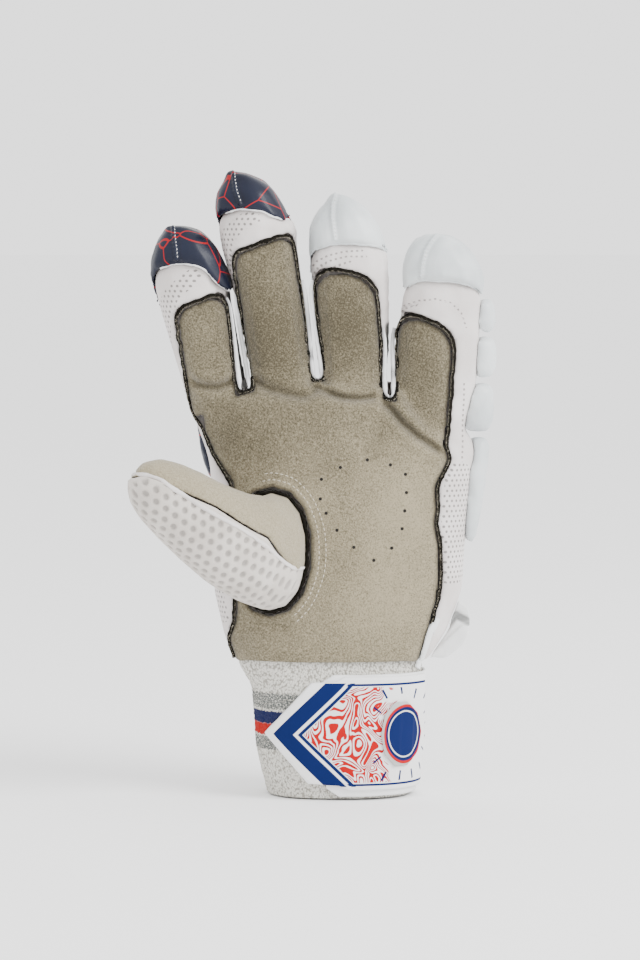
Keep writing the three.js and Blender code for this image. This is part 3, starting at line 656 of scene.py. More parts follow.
# %% The suede palm and its creases
CREASES = (
    (2.6, 1.7, ((188, 379), (196, 384), (206, 387), (218, 387), (229, 383), (237, 376))),
    (1.9, 1.9, ((258, 382), (266, 387), (274, 390), (288, 393), (303, 396), (313, 392))),
    (2.6, 1.6, ((316, 386), (330, 393), (343, 397), (357, 398), (373, 397))),
    (2.9, 1.8, ((384, 402), (391, 408), (402, 422), (418, 436), (436, 448), (446, 453))),
    (0.5, 5.0, ((388, 404), (380, 430), (372, 452))),
    (0.5, 5.0, ((300, 480), (316, 470), (336, 466))),
    (0.5, 4.0, ((240, 640), (262, 618), (282, 624))),
)
SUEDE_TONE_PATCHES = (
    (390, 590, 26.0, 1.0), (410, 500, 18.0, 0.9), (300, 500, 13.0, 0.5), (200, 345, 10.0, 0.2),
    (240, 430, 17.0, -0.9), (262, 330, 16.0, -0.5), (345, 330, 16.0, -0.6), (420, 395, 17.0, -0.7),
    (300, 410, 16.0, -0.6), (262, 620, 15.0, -0.5),
)
ROOT_HEIGHT = CUFF_HEIGHT + HAND_HEIGHT
palm, palm_rim = softened_wall("suede_palm", ["palm"], ["binding"], 0.8, 34)
points = points_of(palm)
seen = points[:, [0, 2]]
sink = np.zeros(len(points))
for depth, wide, pixels in CREASES:
    away = distance_to_line(seen, seen_line(*pixels)) / wide
    sink += depth * (hill(away, 1.0) - 0.35 * hill(away - 2.4, 1.3))
sink += 0.45 * lumps(points, 17.0, 3.0) + 0.16 * lumps(points, 5.0, 8.0)
sink *= smoothstep(palm_rim, 0.5, 3.0)
sink += 0.5 * (1.0 - smoothstep(palm_rim, 0.3, 2.4))
sink -= 1.1 * smoothstep(palm_rim, 0.6, 6.0) * smoothstep(points[:, 2], ROOT_HEIGHT - 6.0, ROOT_HEIGHT + 4.0)
points[:, 1] += sink
place_points(palm, relaxed(points, edges_of(palm), 2))
# The edge map is painted shade, strongest at the seam and where the creases sink.
write_map(palm, "edge", 0.45 * (1.0 - smoothstep(palm_rim, 0.4, 1.6)) + 0.27 * np.clip(sink, 0.0, 2.4))
# The tone map: darker over the fingers, and lighter and darker in listed patches.
suede_tone = -0.75 * smoothstep(points[:, 2], ROOT_HEIGHT - 8.0, ROOT_HEIGHT + 14.0)
for column, row, reach, amount in SUEDE_TONE_PATCHES:
    suede_tone += amount * hill(lengths_of(seen - seen_at(column, row)), reach)
write_map(palm, "suede_tone", suede_tone)
stands_for(palm, SUEDE, "suede", "palm")

# %% [markdown]
# The white shell is one skin from the wrist to the index and little fingers. Its perforations follow the
# cloth and not the air round it, so each point stores how far round the hand and how far up it lies.

# %% The white hand shell
def wrap_map(points, side):
    across = 0.8 * (points[:, 0] + side * points[:, 1])
    return columns(across, points[:, 2], 0.0)


NETS = (
    (seen_line((459, 476), (456, 520), (453, 572)), 6.0),
    (seen_line((214, 588), (217, 602), (220, 618)), 3.4),
    (seen_line((194, 277), (182, 286), (171, 297), (164, 312), (162, 330), (164, 348)), 3.6),
    (seen_line((252, 218), (241, 224), (231, 233), (226, 246), (225, 262), (226, 276)), 3.4),
)
NEEDLE_ROWS = (
    seen_line((464, 382), (464, 400), (463, 420), (463, 442), (462, 462)),
    seen_line((404, 306), (418, 301), (436, 299), (450, 303), (460, 312), (466, 328)),
    seen_line((398, 318), (404, 309), (418, 305)),
)
STALL_ROWS = {
    "middle": (seen_line((262, 221), (256, 222)),),
    "ring": (
        seen_line((309, 272), (316, 262), (328, 256), (344, 252), (362, 251)),
        seen_line((311, 277), (318, 267), (330, 261), (346, 257), (366, 257)),
        seen_line((322, 270), (334, 266), (350, 262)),
    ),
}


def row_map(points, lines):
    best, along = np.full(len(points), 9.0), np.zeros(len(points))
    for number, line in enumerate(lines):
        away, _, travelled = nearest_on_line(points[:, [0, 2]], line)
        nearer = away < best
        best[nearer], along[nearer] = away[nearer], travelled[nearer] + 1.15 * (number % 2)
    return columns(along, best, 0.0)


def perforated_field(points):
    seen = points[:, [0, 2]]
    away = np.min([distance_to_line(seen, line) / reach for line, reach in NETS], axis=0)
    return (1.0 - smoothstep(away, 0.9, 1.1)) * (points[:, 1] < SHIFT[1] + 6.0)


def pulled(points, *pulls):
    for start, end, reach, back in pulls:
        start, end = seen_at(*start), seen_at(*end)
        share = hill(lengths_of(points[:, [0, 2]] - start), reach)
        points = points + share[:, None] * np.array([end[0] - start[0], back, end[1] - start[1]])
    return points


shell, shell_rim = softened_wall(
    "hand_shell", ["back_panel", "index_stall", "little_stall"],
    ["palm", "binding", "middle_stall", "ring_stall"], 0.85, 30
)
points = pulled(points_of(shell), ((226, 270), (220, 279), 5.5, 3.0))
wave = 0.35 * lumps(points, 14.0, 21.0) + 0.12 * lumps(points, 4.0, 5.0)
points += normals_of(shell) * (wave * smoothstep(shell_rim, 0.8, 3.0))[:, None] * 0.5
place_points(shell, points)
write_map(shell, "weave", wrap_map(points, np.where(points[:, 0] > 0.0, 1.0, -1.0)))
write_map(shell, "rows", row_map(points, NEEDLE_ROWS))
write_map(shell, "perforated", perforated_field(points))
stands_for(shell, WARM_WHITE, "white_leather", "back_panel", "index_stall", "little_stall")

# %% [markdown]
# The two middle fingers have stalls of their own. They get soft folds across, and their needle rows.

# %% The middle and ring stalls
STALLS = {}
for finger in ("middle", "ring"):
    stall, rim = softened_wall(
        f"{finger}_finger_stall", [f"{finger}_stall"], ["palm", "binding", "back_panel"], 0.7, 26
    )
    points = points_of(stall)
    folds = 0.22 * lumps(points, 9.0, 4.0) + 0.3 * lumps(points * (0.45, 1.0, 1.6), 5.0, 6.0)
    points += normals_of(stall) * (folds * smoothstep(rim, 0.8, 3.0))[:, None]
    if finger == "middle":
        points = pulled(points, ((290, 206), (283, 215), 5.5, 3.0))
    place_points(stall, points)
    write_map(stall, "rows", row_map(points, STALL_ROWS[finger]))
    write_map(stall, "weave", wrap_map(points, -1.0))
    write_map(stall, "perforated", perforated_field(points))
    stands_for(stall, WARM_WHITE, "white_leather", f"{finger}_stall")
    STALLS[finger] = (stall, rim)

# %% [markdown]
# ## The black binding
# A narrow black edging closes the seam between suede and white, and its cut edge has frayed. The seam runs
# round the palm and up and down each finger, so it is found once, as the outline of five overlapping
# shapes, and then dropped onto the glove from the front.

# %% Outline of the suede
PALM_EDGE = (
    (-0.32, 0.0), (-0.345, 0.084), (-0.324, 0.152), (-0.32, 0.26), (-0.324, 0.45), (-0.334, 0.649),
    (-0.36, 0.69), (-0.396, 0.75), (-0.43, 0.837), (-0.446, 0.93), (-0.3, 0.972), (-0.035, 1.018),
    (0.193, 0.955), (0.4, 0.9), (0.398, 0.82), (0.39, 0.78), (0.406, 0.733), (0.36, 0.637), (0.364, 0.548),
    (0.357, 0.504), (0.372, 0.422), (0.374, 0.305), (0.363, 0.221), (0.347, 0.17), (0.34, 0.132), (0.302, 0.0),
)
FINGERS = {
    "index": {"at": -51.25, "width": 27.5, "length": 61.5, "lean": 12.6, "root": 0.4, "top": 0.415,
              "start": -0.06, "end": 0.06, "foot": 0.5, "reach": 0.6, "tilt": 9, "corner": 0.22},
    "middle": {"at": -19.95, "width": 28.5, "length": 84.5, "lean": 10, "root": 0.49, "top": 0.475,
               "start": -0.04, "end": 0.03, "foot": 0.4, "reach": 0.74, "tilt": 9, "corner": 0.18},
    "ring": {"at": 10.45, "width": 29.5, "length": 68.5, "lean": 2, "root": 0.46, "top": 0.46,
             "start": 0.01, "end": -0.07, "foot": 0.4, "reach": 0.72, "tilt": -12, "corner": 0.36},
    "little": {"at": 46.0, "width": 38.0, "length": 52.0, "lean": -5.3, "root": 0.33, "top": 0.33,
               "start": -0.13, "end": -0.15, "foot": 0.4, "reach": 0.53, "tilt": -17, "corner": 0.26},
}
def finger_outline(finger):
    width = finger["width"]
    low = -finger["foot"] * width
    high = finger["reach"] * finger["length"]
    low_half, high_half = finger["root"] * width, finger["top"] * width
    rise = math.tan(math.radians(finger["tilt"])) * high_half
    corner = finger["corner"] * width
    inner = rise * (1 - corner / high_half)
    middle = finger["start"] * width
    left, right = finger["end"] * width - high_half, finger["end"] * width + high_half

    def bend(start, knee, end):
        share = np.linspace(0.0, 1.0, 7)[:, None]
        start, knee, end = map(np.array, (start, knee, end))
        return (1 - share) ** 2 * start + 2 * share * (1 - share) * knee + share**2 * end

    flat = np.vstack([
        [(middle - low_half, low), (middle + low_half, low)],
        bend((right, high + rise - corner), (right, high + rise), (right - corner, high + inner)),
        bend((left + corner, high - inner), (left, high - rise), (left, high - rise - corner)),
    ])
    tilt = math.radians(finger["lean"])
    across = flat[:, 0] * math.cos(tilt) - flat[:, 1] * math.sin(tilt)
    up = flat[:, 0] * math.sin(tilt) + flat[:, 1] * math.cos(tilt)
    return columns(across + finger["at"] + SHIFT[0], up + ROOT_HEIGHT)


def inside(points, outline):
    count = np.zeros(len(points), dtype=int)
    for (x0, z0), (x1, z1) in zip(outline, np.roll(outline, -1, axis=0)):
        crosses = (z0 > points[:, 1]) != (z1 > points[:, 1])
        if z0 != z1:
            count += crosses & (points[:, 0] < (x1 - x0) * (points[:, 1] - z0) / (z1 - z0) + x0)
    return count % 2 == 1


def joined_outline(outlines):
    runs = []
    for i, outline in enumerate(outlines):
        line = spaced(outline, 0.6, closed=True)
        covered = np.zeros(len(line), dtype=bool)
        for j, other in enumerate(outlines):
            if j != i:
                covered |= inside(line, other)
        start = int(np.argmax(covered))
        line, covered = np.roll(line, -start, axis=0), np.roll(covered, -start)
        piece = []
        for point, hidden in zip(line, covered):
            if hidden and piece:
                runs.append(piece)
                piece = []
            elif not hidden:
                piece.append(point)
        if piece:
            runs.append(piece)
    path = runs.pop(0)
    while runs:
        gaps = [min(math.dist(path[-1], run[0]), math.dist(path[-1], run[-1])) for run in runs]
        run = runs.pop(int(np.argmin(gaps)))
        path += run if math.dist(path[-1], run[0]) <= math.dist(path[-1], run[-1]) else run[::-1]
    return np.array(path)


palm_edge = np.array([((x * KNUCKLE_WIDTH) + SHIFT[0], CUFF_HEIGHT + z * HAND_HEIGHT) for x, z in PALM_EDGE])
outlines = [palm_edge] + [finger_outline(finger) for finger in FINGERS.values()]
suede_outline = joined_outline(outlines)
print("points round the suede:", len(suede_outline))

# %% [markdown]
# Dropping the outline onto the solids gives each point its depth. The ribbon is then a small rounded
# section swept along it, and its width and place wander a little as a hand-cut edge does. Fibres stick
# out of both sides.

# %% Sweeping a ribbon, and its frayed edge
hand_trees = [tree_of(name) for name in ("binding", "palm", "back_panel") + tuple(f"{f}_stall" for f in FINGERS)]


def dropped(line):
    depths, fronts = [], []
    for x, z in line:
        hit = front_hit(hand_trees, x, z, SHIFT[1] * MM - RAY_START)
        if hit:
            depths.append(hit[0].y / MM)
            fronts.append(hit[1])
        else:
            depths.append(depths[-1] if depths else SHIFT[1])
            fronts.append(fronts[-1] if fronts else Vector((0, -1, 0)))
    return np.array(depths), np.array([tuple(front) for front in fronts])


def evened(values, times, closed=False):
    values = np.array(values, dtype=float)
    for _ in range(times):
        before, after = np.roll(values, 1, axis=0), np.roll(values, -1, axis=0)
        if not closed:
            before[0], after[-1] = values[0], values[-1]
        values = 0.5 * values + 0.25 * (before + after)
    return values


def unit(vectors):
    return vectors / np.maximum(lengths_of(vectors), 1e-9)[:, None]


FIBRE_HALF_WIDTH = 0.09


def swept(title, path, outward, half_wide, half_high, closed, wander=0.0, sides=10):
    wides = np.broadcast_to(half_wide, len(path))
    highs = np.broadcast_to(half_high, len(path))
    along = unit(np.gradient(path, axis=0)) if not closed else unit(np.roll(path, -1, 0) - np.roll(path, 1, 0))
    across = unit(np.cross(along, outward))
    up = unit(np.cross(across, along))
    angles = np.linspace(0.0, 2 * math.pi, sides, endpoint=False)
    vertices = []
    for i, centre in enumerate(path):
        loose = [1.0 + wander * noise.noise(Vector((i * 0.31, k * 0.7, wides[0]))) for k in range(sides)]
        for k, angle in enumerate(angles):
            reach = wides[i] * loose[k] * math.cos(angle)
            vertices.append(centre + across[i] * reach + up[i] * highs[i] * loose[k] * math.sin(angle))
    return built(title, vertices, tube_faces(len(path), sides, closed)), across, up


def laid(title, material, slot, *shape, **options):
    piece = swept(title, *shape, **options)[0]
    stands_for(piece, material, slot)
    return piece


def fibre_tufts(title, path, across, up, half_wide, per_point, longest, sides=(-1, 1), inward=1.0, lift=0.0):
    vertices, faces = [], []
    for start in range(0, 4 * int(len(path) * per_point), 4):
        i = dice.randrange(len(path) - 1)
        side = dice.choice(sides)
        root = path[i] + side * across[i] * half_wide * 0.75 + up[i] * (lift + dice.uniform(-0.1, 0.45))
        side *= inward
        along = path[i + 1] - path[i]
        reach = side * across[i] * dice.uniform(0.35, longest) + up[i] * dice.uniform(-0.1, 0.5)
        tip = root + reach + along * dice.uniform(-1.2, 1.2)
        thin = along * FIBRE_HALF_WIDTH
        vertices += [root + thin, root - thin, root + up[i] * FIBRE_HALF_WIDTH * 1.5, tip]
        corners = ((0, 1, 3), (1, 2, 3), (2, 0, 3), (0, 2, 1))
        faces += [tuple(start + corner for corner in face) for face in corners]
    return built(title, vertices, faces)


def binding_piece(title, line, closed, thick=0.82):
    line = evened(spaced(line, LINE_STEP, closed), 4, closed)
    beat = np.arange(len(line))
    line = line + 0.6 * columns(lumps(columns(beat * 0.13, 3.0, 0.0), 1.0), lumps(columns(beat * 0.13, 9.0, 0.0), 1.0))
    depths, fronts = dropped(line)
    depths = evened(depths, 10, closed)
    fronts = unit(evened(fronts, 12, closed))
    path = columns(line[:, 0], depths, line[:, 1]) - fronts * 0.25
    wide = thick + 0.35 * lumps(columns(beat * 0.06, 5.0, 1.0), 1.0)
    ribbon, across, up = swept(title, path, fronts, wide, 0.7, closed, wander=0.3)
    tufts = fibre_tufts(f"{title}_fibres", path, across, up, 0.9, 2.2, 0.7)
    return ribbon, tufts, path, across, up


def outward_of(line):
    along = unit(np.gradient(line, axis=0))
    return columns(-along[:, 1], along[:, 0])


# %% [markdown]
# Between two fingers the suede stops short of the slot, and the white cloth is rolled over there, so that the
# black edging lies a few millimetres back on both sides. For each point of the outline, the slot's width is
# measured straight across, and the edging is moved by what the slot still lacks.

# %% Where the edging runs, and how wide each slot is
low = suede_outline[:, 1] < CUFF_HEIGHT + 0.4
last_low = np.flatnonzero(low & ~np.roll(low, -1))[0]
open_outline = np.roll(suede_outline, -(last_low + 1), axis=0)
open_outline = open_outline[: np.flatnonzero(open_outline[:, 1] < CUFF_HEIGHT + 0.4)[0]]
if open_outline[0, 0] > open_outline[-1, 0]:
    open_outline = open_outline[::-1]
open_outline = evened(spaced(open_outline), 8)
left_edge = (open_outline[:, 0] < -42.0) & (open_outline[:, 1] > 156.0) & (open_outline[:, 1] < 180.0)
calm = evened(left_edge.astype(float), 30)[:, None]
open_outline = open_outline * (1.0 - calm) + evened(open_outline, 160) * calm
outward_way = unit(evened(outward_of(open_outline), 4))
slot = np.full(len(open_outline), 10.0)
for width in np.arange(9.7, 0.7, -0.3):
    across_slot = open_outline + outward_way * width
    met = np.zeros(len(open_outline), dtype=bool)
    for outline in outlines:
        met |= inside(across_slot, outline)
    slot[met] = width
half_gap = 4.0 - 1.3 * smoothstep(open_outline[:, 1], ROOT_HEIGHT + 1.0, ROOT_HEIGHT + 28.0)
near_slot = (slot < 9.0) & (open_outline[:, 1] > ROOT_HEIGHT - 8.0)
move = np.where(near_slot, np.clip(slot / 2 - half_gap, -3.2, 0.5), 0.5)
move = evened(move, 60)
edging_line = evened(open_outline + outward_way * move[:, None], 10)
print("slots found at points:", int(near_slot.sum()))

# %% [markdown]
# The palm's ribbon stops where the wrist flap begins. Pale fibres of raw suede stand out on its inner side.

# %% The binding round the palm
flap_end = len(edging_line) - 1 - int(np.argmax((edging_line[::-1, 1] > seen_at(430, 626)[1])))
edging_shown = edging_line[: flap_end + 1]
palm_binding, palm_tufts, palm_path, palm_across, palm_up = binding_piece("palm_binding", edging_shown, False)
stands_for(palm_binding, BINDING, "binding", "binding")
stands_for(palm_tufts, BINDING, "binding")
inner_side = 1 if palm_across[40, 0] > 0 else -1
raw_edge = fibre_tufts("raw_suede_fibres", palm_path, palm_across, palm_up, 1.2, 3.4, 1.0, (inner_side,), -1.0, 0.3)
stands_for(raw_edge, RAW_EDGE, "suede")

# %% [markdown]
# Below that end, the flap's own white edge lies over the seam. It grows from nothing to its full width.

# %% The white edge below the binding's end
fold_line = edging_line[flap_end - 3 :]
fold_depths, fold_fronts = dropped(fold_line)
fold_fronts = unit(evened(fold_fronts, 12))
fold_path = columns(fold_line[:, 0], evened(fold_depths, 8), fold_line[:, 1]) + fold_fronts * 0.3
fold_wide = 1.5 * smoothstep(np.arange(len(fold_path)) * LINE_STEP, -1.0, 4.0)
laid("wrist_flap_edge", FLAP_WHITE, "white_leather", fold_path, fold_fronts, fold_wide, 0.8, False,
     wander=0.2, sides=12)

# %% [markdown]
# Each stretch of the outline that runs beside a slot gets one rolled edge of white cloth, thinner at its
# ends.

# %% White cloth rolled over in the slots
ROLL_HALF_HIGH = 0.95
BINDING_HALF_WIDE = 0.9
in_slot = evened(near_slot, 8) > 0.5
runs = np.split(np.arange(len(in_slot)), np.flatnonzero(np.diff(in_slot.astype(int))) + 1)
runs = [run for run in runs if in_slot[run[0]] and len(run) > 40]
for number, run in enumerate(runs):
    line = edging_line[run]
    wide = np.maximum((half_gap[run] - BINDING_HALF_WIDE - ROLL_HALF_HIGH) / 2, 0.45)
    to_end = np.minimum(np.arange(len(run)), np.arange(len(run))[::-1]) * LINE_STEP
    wide = wide * (0.35 + 0.65 * smoothstep(to_end, 0.0, 6.0))
    roll_line = evened(line + outward_way[run] * (0.85 + wide)[:, None], 3)
    depths, fronts = dropped(line)
    fronts = unit(evened(fronts, 20))
    path = columns(roll_line[:, 0], evened(depths, 20), roll_line[:, 1]) + fronts * 0.05
    laid(f"rolled_edge_{number}", WHITE, "white_leather", path, fronts, wide, ROLL_HALF_HIGH, False,
         wander=0.12, sides=12)
print("slots with rolled cloth:", len(runs))

# %% [markdown]
# A stitch is a short rod, thick in its middle, that lies along its seam. Seams are found by rays from the
# front.

# %% Rods of thread, and lines laid on a surface
ROD_RINGS = ((-0.5, 0.35, -0.25), (-0.3, 0.9, 0.1), (0.0, 1.0, 0.22), (0.3, 0.9, 0.1), (0.5, 0.35, -0.25))
ROD_SIDES = 6


def rod_stitches(title, path, outward, pitch, length, thick):
    vertices, faces = [], []
    travelled = travelled_along(path)

    def value_at(way, line):
        return np.array([np.interp(way, travelled, line[:, axis]) for axis in range(3)])

    for i in range(max(int(travelled[-1] / pitch), 1)):
        middle = (i + 0.5) * pitch
        at, up = value_at(middle, path), value_at(middle, outward)
        along = value_at(middle + 0.4, path) - value_at(middle - 0.4, path)
        along = along / max(np.linalg.norm(along), 1e-6)
        side = np.cross(along, up)
        side /= max(np.linalg.norm(side), 1e-6)
        up = np.cross(side, along)
        faces += tube_faces(len(ROD_RINGS), ROD_SIDES, False, len(vertices))
        for share, wide, high in ROD_RINGS:
            for turn in np.arange(ROD_SIDES) * 2 * math.pi / ROD_SIDES:
                turned = side * math.cos(turn) * wide + up * math.sin(turn) * wide
                vertices.append(at + along * share * length + (turned + up * high) * thick / 2)
    return built(title, vertices, faces)


def border_between(upper, lower, low_corner, high_corner):
    border = []
    for x in np.arange(low_corner[0] + 0.6, high_corner[0] - 0.6, 0.5):
        for z in np.arange(low_corner[1] - 6.0, high_corner[1], 0.25):
            over, under = front_hit([upper], x, z), front_hit([lower], x, z)
            if over and (under is None or over[3] < under[3]):
                if under or border:
                    border.append((x, z))
                break
    return np.array(border)


def first_met(trees, line):
    hits = [front_hit(trees, x, z) for x, z in line]
    path = [(x, hit[0].y / MM, z) for (x, z), hit in zip(line, hits) if hit]
    return np.array(path), np.array([tuple(hit[1]) for hit in hits if hit])


# %% [markdown]
# The thumb stands on its own oval of binding. Rays walked out from the oval's middle find the solid ring,
# and the ribbon follows the middle of what they hit.

# %% The ring of binding at the thumb
RING_MIDDLE = np.array([-26.5 + SHIFT[0], 108.5])
RING_REACH = np.array([17.4, 27.4])


def thumb_ring():
    solid = hand_trees[0]
    shares, turns = [], np.linspace(0.0, 2 * math.pi, 150, endpoint=False)
    for turn in turns:
        way = RING_REACH * (math.cos(turn), math.sin(turn))
        hits = []
        for share in np.arange(0.86, 1.16, 0.02):
            x, z = RING_MIDDLE + way * share
            if front_hit([solid], x, z):
                hits.append(share)
        shares.append(np.mean(hits) if hits else 1.0)
    shares = evened(shares, 12, True)
    return RING_MIDDLE + columns(np.cos(turns), np.sin(turns)) * RING_REACH * shares[:, None]


ring_line = thumb_ring()
ring_way = unit(ring_line - RING_MIDDLE)
ring_binding, ring_tufts, *_ = binding_piece("thumb_binding", ring_line - ring_way * 0.7, True, 0.78)
stands_for(ring_binding, BINDING, "binding")
stands_for(ring_tufts, BINDING, "binding")

# %% [markdown]
# Relaxing drew the walls a little away from their seam. Their rims are now drawn back to it, so that only a
# narrow black line stays open, and the slots between the fingers get their depth and their shade.

# %% Closing the walls to the seam
slot_middles = (open_outline + outward_way * slot[:, None] / 2)[near_slot]
slot_tree = KDTree(len(slot_middles))
for i, (x, z) in enumerate(slot_middles):
    slot_tree.insert((x, 0.0, z), i)
slot_tree.balance()


CLOSE_MOST, SEAM_HALF_OPEN = 1.2, 0.4


def closed_up(piece, rim, lines, reach):
    points = points_of(piece)
    near = np.flatnonzero(rim < reach)
    seen = points[near][:, [0, 2]]
    away, way, _ = nearest_on_line(seen, lines[0])
    for line in lines[1:]:
        other, other_way, _ = nearest_on_line(seen, line)
        nearer = other < away
        away[nearer], way[nearer] = other[nearer], other_way[nearer]
    pull = np.minimum(CLOSE_MOST * (1.0 - smoothstep(away, 1.0, 4.0)), np.maximum(away - SEAM_HALF_OPEN, 0.0))
    moved = way / np.maximum(away, 1e-6)[:, None] * pull[:, None]
    points[near, 0] += moved[:, 0]
    points[near, 2] += moved[:, 1]
    place_points(piece, points)


def slot_shade(piece):
    points = points_of(piece)
    away = np.array([slot_tree.find((x, 0.0, z))[2] for x, y, z in points])
    away[points[:, 1] > SHIFT[1] + 4.0] = 9.0
    points[:, 1] += 2.6 * (1.0 - smoothstep(away, 0.5, 2.0))
    place_points(piece, points)
    write_map(piece, "shade", 0.95 * (1.0 - smoothstep(away, 0.6, 2.1)))


ring_closed = np.vstack([ring_line, ring_line[:1]])
inner_ring = ring_closed - np.vstack([ring_way, ring_way[:1]]) * 0.4
closed_up(palm, palm_rim, (open_outline[::2], inner_ring), 3.4)
closed_up(shell, shell_rim, (open_outline[::2],), 3.0)
for stall, rim in STALLS.values():
    closed_up(stall, rim, (open_outline[::2],), 3.0)
    slot_shade(stall)
slot_shade(shell)
palm_points = points_of(palm)
hem_away = distance_to_line(palm_points[:, [0, 2]], ring_closed)
palm_points[:, 1] -= 0.8 * hill(hem_away - 2.6, 1.7) * (palm_points[:, 1] < SHIFT[1])
place_points(palm, palm_points)
print("walls closed to their seams")

# %% [markdown]
# Two rows of stitching hold the suede hem beside the thumb. Their rods are laid at two distances from the
# ring, on the side that the thumb leaves open.

# %% Stitches beside the thumb
STITCH_LIFT = 0.02
palm_tree = tree_of_piece(palm)
for number, distance in enumerate((4.6, 7.6)):
    turns = np.linspace(math.radians(-62), math.radians(104), 140)
    shown = ring_line[(turns / (2 * math.pi) * len(ring_line)).astype(int) % len(ring_line)]
    shown = shown + unit(shown - RING_MIDDLE) * distance
    path, fronts = first_met([palm_tree], evened(shown, 6))
    path = path + fronts * STITCH_LIFT
    row = rod_stitches(f"hem_stitches_{number}", path, fronts, 2.3, 1.4, 0.42)
    stands_for(row, SUEDE_THREAD, "suede")

# %% [markdown]
# ## The thumb
# The lower half of the thumb is a knitted mesh with round holes in a hexagonal net. The holes are pressed
# into the skin itself, so that they have a wall and a floor, and the same net paints shade on their floors.

# %% Where a point lies on the thumb
THUMB_BASE = np.array([-25.09, -14.08, 108.8]) + SHIFT
THUMB_REACH = np.array([-62.0, -34.5, 35.5])
THUMB_SPINE = THUMB_BASE + THUMB_REACH * np.array([
    (0.0, 0.0, 0.0), (0.04, 0.29, 0.006), (0.145, 0.55, 0.076), (0.307, 0.725, 0.217), (0.48, 0.826, 0.42),
    (0.64, 0.9, 0.63), (0.78, 0.957, 0.81), (0.885, 0.985, 0.94), (0.955, 1.0, 1.02),
])


THUMB_WIDE = np.array([1.1, 1.06, 1.0, 0.9, 0.8, 0.72, 0.62, 0.48, 0.26]) * 24.0
THUMB_DEEP = np.array([0.94, 1.0, 1.0, 1.0, 0.97, 0.9, 0.8, 0.62, 0.34]) * 16.5


THUMB_AXIS = (THUMB_SPINE[-1] - THUMB_SPINE[0]) / np.linalg.norm(THUMB_SPINE[-1] - THUMB_SPINE[0])
THUMB_FRONT = unit((np.array([0.0, -1.0, 0.0]) + THUMB_AXIS * THUMB_AXIS[1])[None, :])[0]
THUMB_RISE = np.cross(THUMB_AXIS, THUMB_FRONT)
THUMB_RISE *= np.sign(THUMB_RISE[2])


def thumb_place(points):
    stations = (THUMB_SPINE - THUMB_SPINE[0]) @ THUMB_AXIS
    along = (points - THUMB_SPINE[0]) @ THUMB_AXIS
    spine = columns(*(np.interp(along, stations, THUMB_SPINE[:, axis]) for axis in range(3)))
    offset = points - spine
    wide, deep = np.interp(along, stations, THUMB_WIDE), np.interp(along, stations, THUMB_DEEP)
    turn = np.arctan2(offset @ THUMB_RISE / wide, offset @ THUMB_FRONT / deep)
    return along, turn * (0.5 * wide + 9.0) * 0.92, offset


def hexagon_distance(u, v, pitch):
    best = np.full(len(u), 1e9)
    tall = pitch * math.sqrt(3)
    for du, dv in ((0.0, 0.0), (0.5, 0.5)):
        a = (u / pitch + du) % 1.0 - 0.5
        b = (v / tall + dv) % 1.0 - 0.5
        best = np.minimum(best, np.hypot(a * pitch, b * tall))
    return best


print("thumb reaches, mm:", THUMB_SPINE[-1].round(1))

# %% Mesh cloth of the thumb
HOLE_PITCH, HOLE_RADIUS, HOLE_DEPTH = 4.5, 1.55, 0.9


def build_mesh_cloth():
    material, tree = new_material("Thumb mesh cloth", 0.8, sheen=0.15, specular=0.25)
    place = millimetres(tree)
    cloud = noise_value(place, 0.07)
    colour = mixed(ramp(cloud, 0.3, 0.7), paint(0.52, 0.475, 0.425), paint(0.61, 0.565, 0.515))
    # Painted shade on the floors of the mesh holes.
    colour = mixed(read_map(tree, "hole") * 0.7, colour, paint(0.27, 0.25, 0.235))
    return finished(material, colour, noise_value(place, 1.7, 2.0, 0.6), 0.15, 0.7)


MESH_CLOTH = build_mesh_cloth()
thumb, thumb_rim = softened_wall("thumb_mesh_cloth", ["thumb_mesh"], ["thumb_leather", "binding"], 0.5, 40)
points = points_of(thumb)
normals = normals_of(thumb)
along, around, offset = thumb_place(points)
outer = (normals * offset).sum(1) > 0.3 * lengths_of(offset)
away = hexagon_distance(along, around, HOLE_PITCH)
dent = (1.0 - smoothstep(away, HOLE_RADIUS * 0.55, HOLE_RADIUS)) * outer * smoothstep(thumb_rim, 1.2, 2.4)
points -= normals * (HOLE_DEPTH * dent)[:, None]
place_points(thumb, points)
write_map(thumb, "hole", dent)
stands_for(thumb, MESH_CLOTH, "mesh_cloth", "thumb_mesh")

# %% [markdown]
# The upper half of the thumb is the same suede as the palm, a little lighter, in loose folds.

# %% Suede of the thumb
thumb_top, top_rim = softened_wall("thumb_suede", ["thumb_leather"], ["thumb_mesh", "binding"], 0.6, 34)
points = points_of(thumb_top)
folds = 0.35 * lumps(points, 9.0, 2.0) + 0.12 * lumps(points, 3.0, 6.0)
points += normals_of(thumb_top) * (folds * smoothstep(top_rim, 0.8, 3.0))[:, None]
place_points(thumb_top, points)
stands_for(thumb_top, THUMB_SUEDE, "suede", "thumb_leather")

# %% [markdown]
# The mesh cloth is turned over at its upper edge, and that narrow hem lies on the suede. It follows the
# seam as it is seen from the front.

# %% Hem between mesh and suede
THUMB_SEAM = seen_line(
    (131, 475), (138, 469), (149, 468.5), (164, 473), (179, 483), (196.5, 494.5), (217, 507), (237.5, 518.5),
    (255, 530), (273, 546), (285, 558), (294, 565), (304, 567),
)
hem_line = evened(spaced(THUMB_SEAM), 6)
closed_up(thumb, thumb_rim, (hem_line,), 3.4)
closed_up(thumb_top, top_rim, (hem_line,), 3.4)
hem_line = hem_line + unit(evened(outward_of(hem_line), 8)) * 0.35
hem_path, hem_ways = first_met([tree_of_piece(thumb), tree_of_piece(thumb_top)], hem_line)
hem_path[:, 1] = evened(hem_path[:, 1], 12) + 0.1
hem_ways = unit(evened(hem_ways, 14))
laid("thumb_cloth_hem", WARM_PLAIN, "mesh_cloth", hem_path, hem_ways, 1.05, 0.55, False, wander=0.2, sides=8)

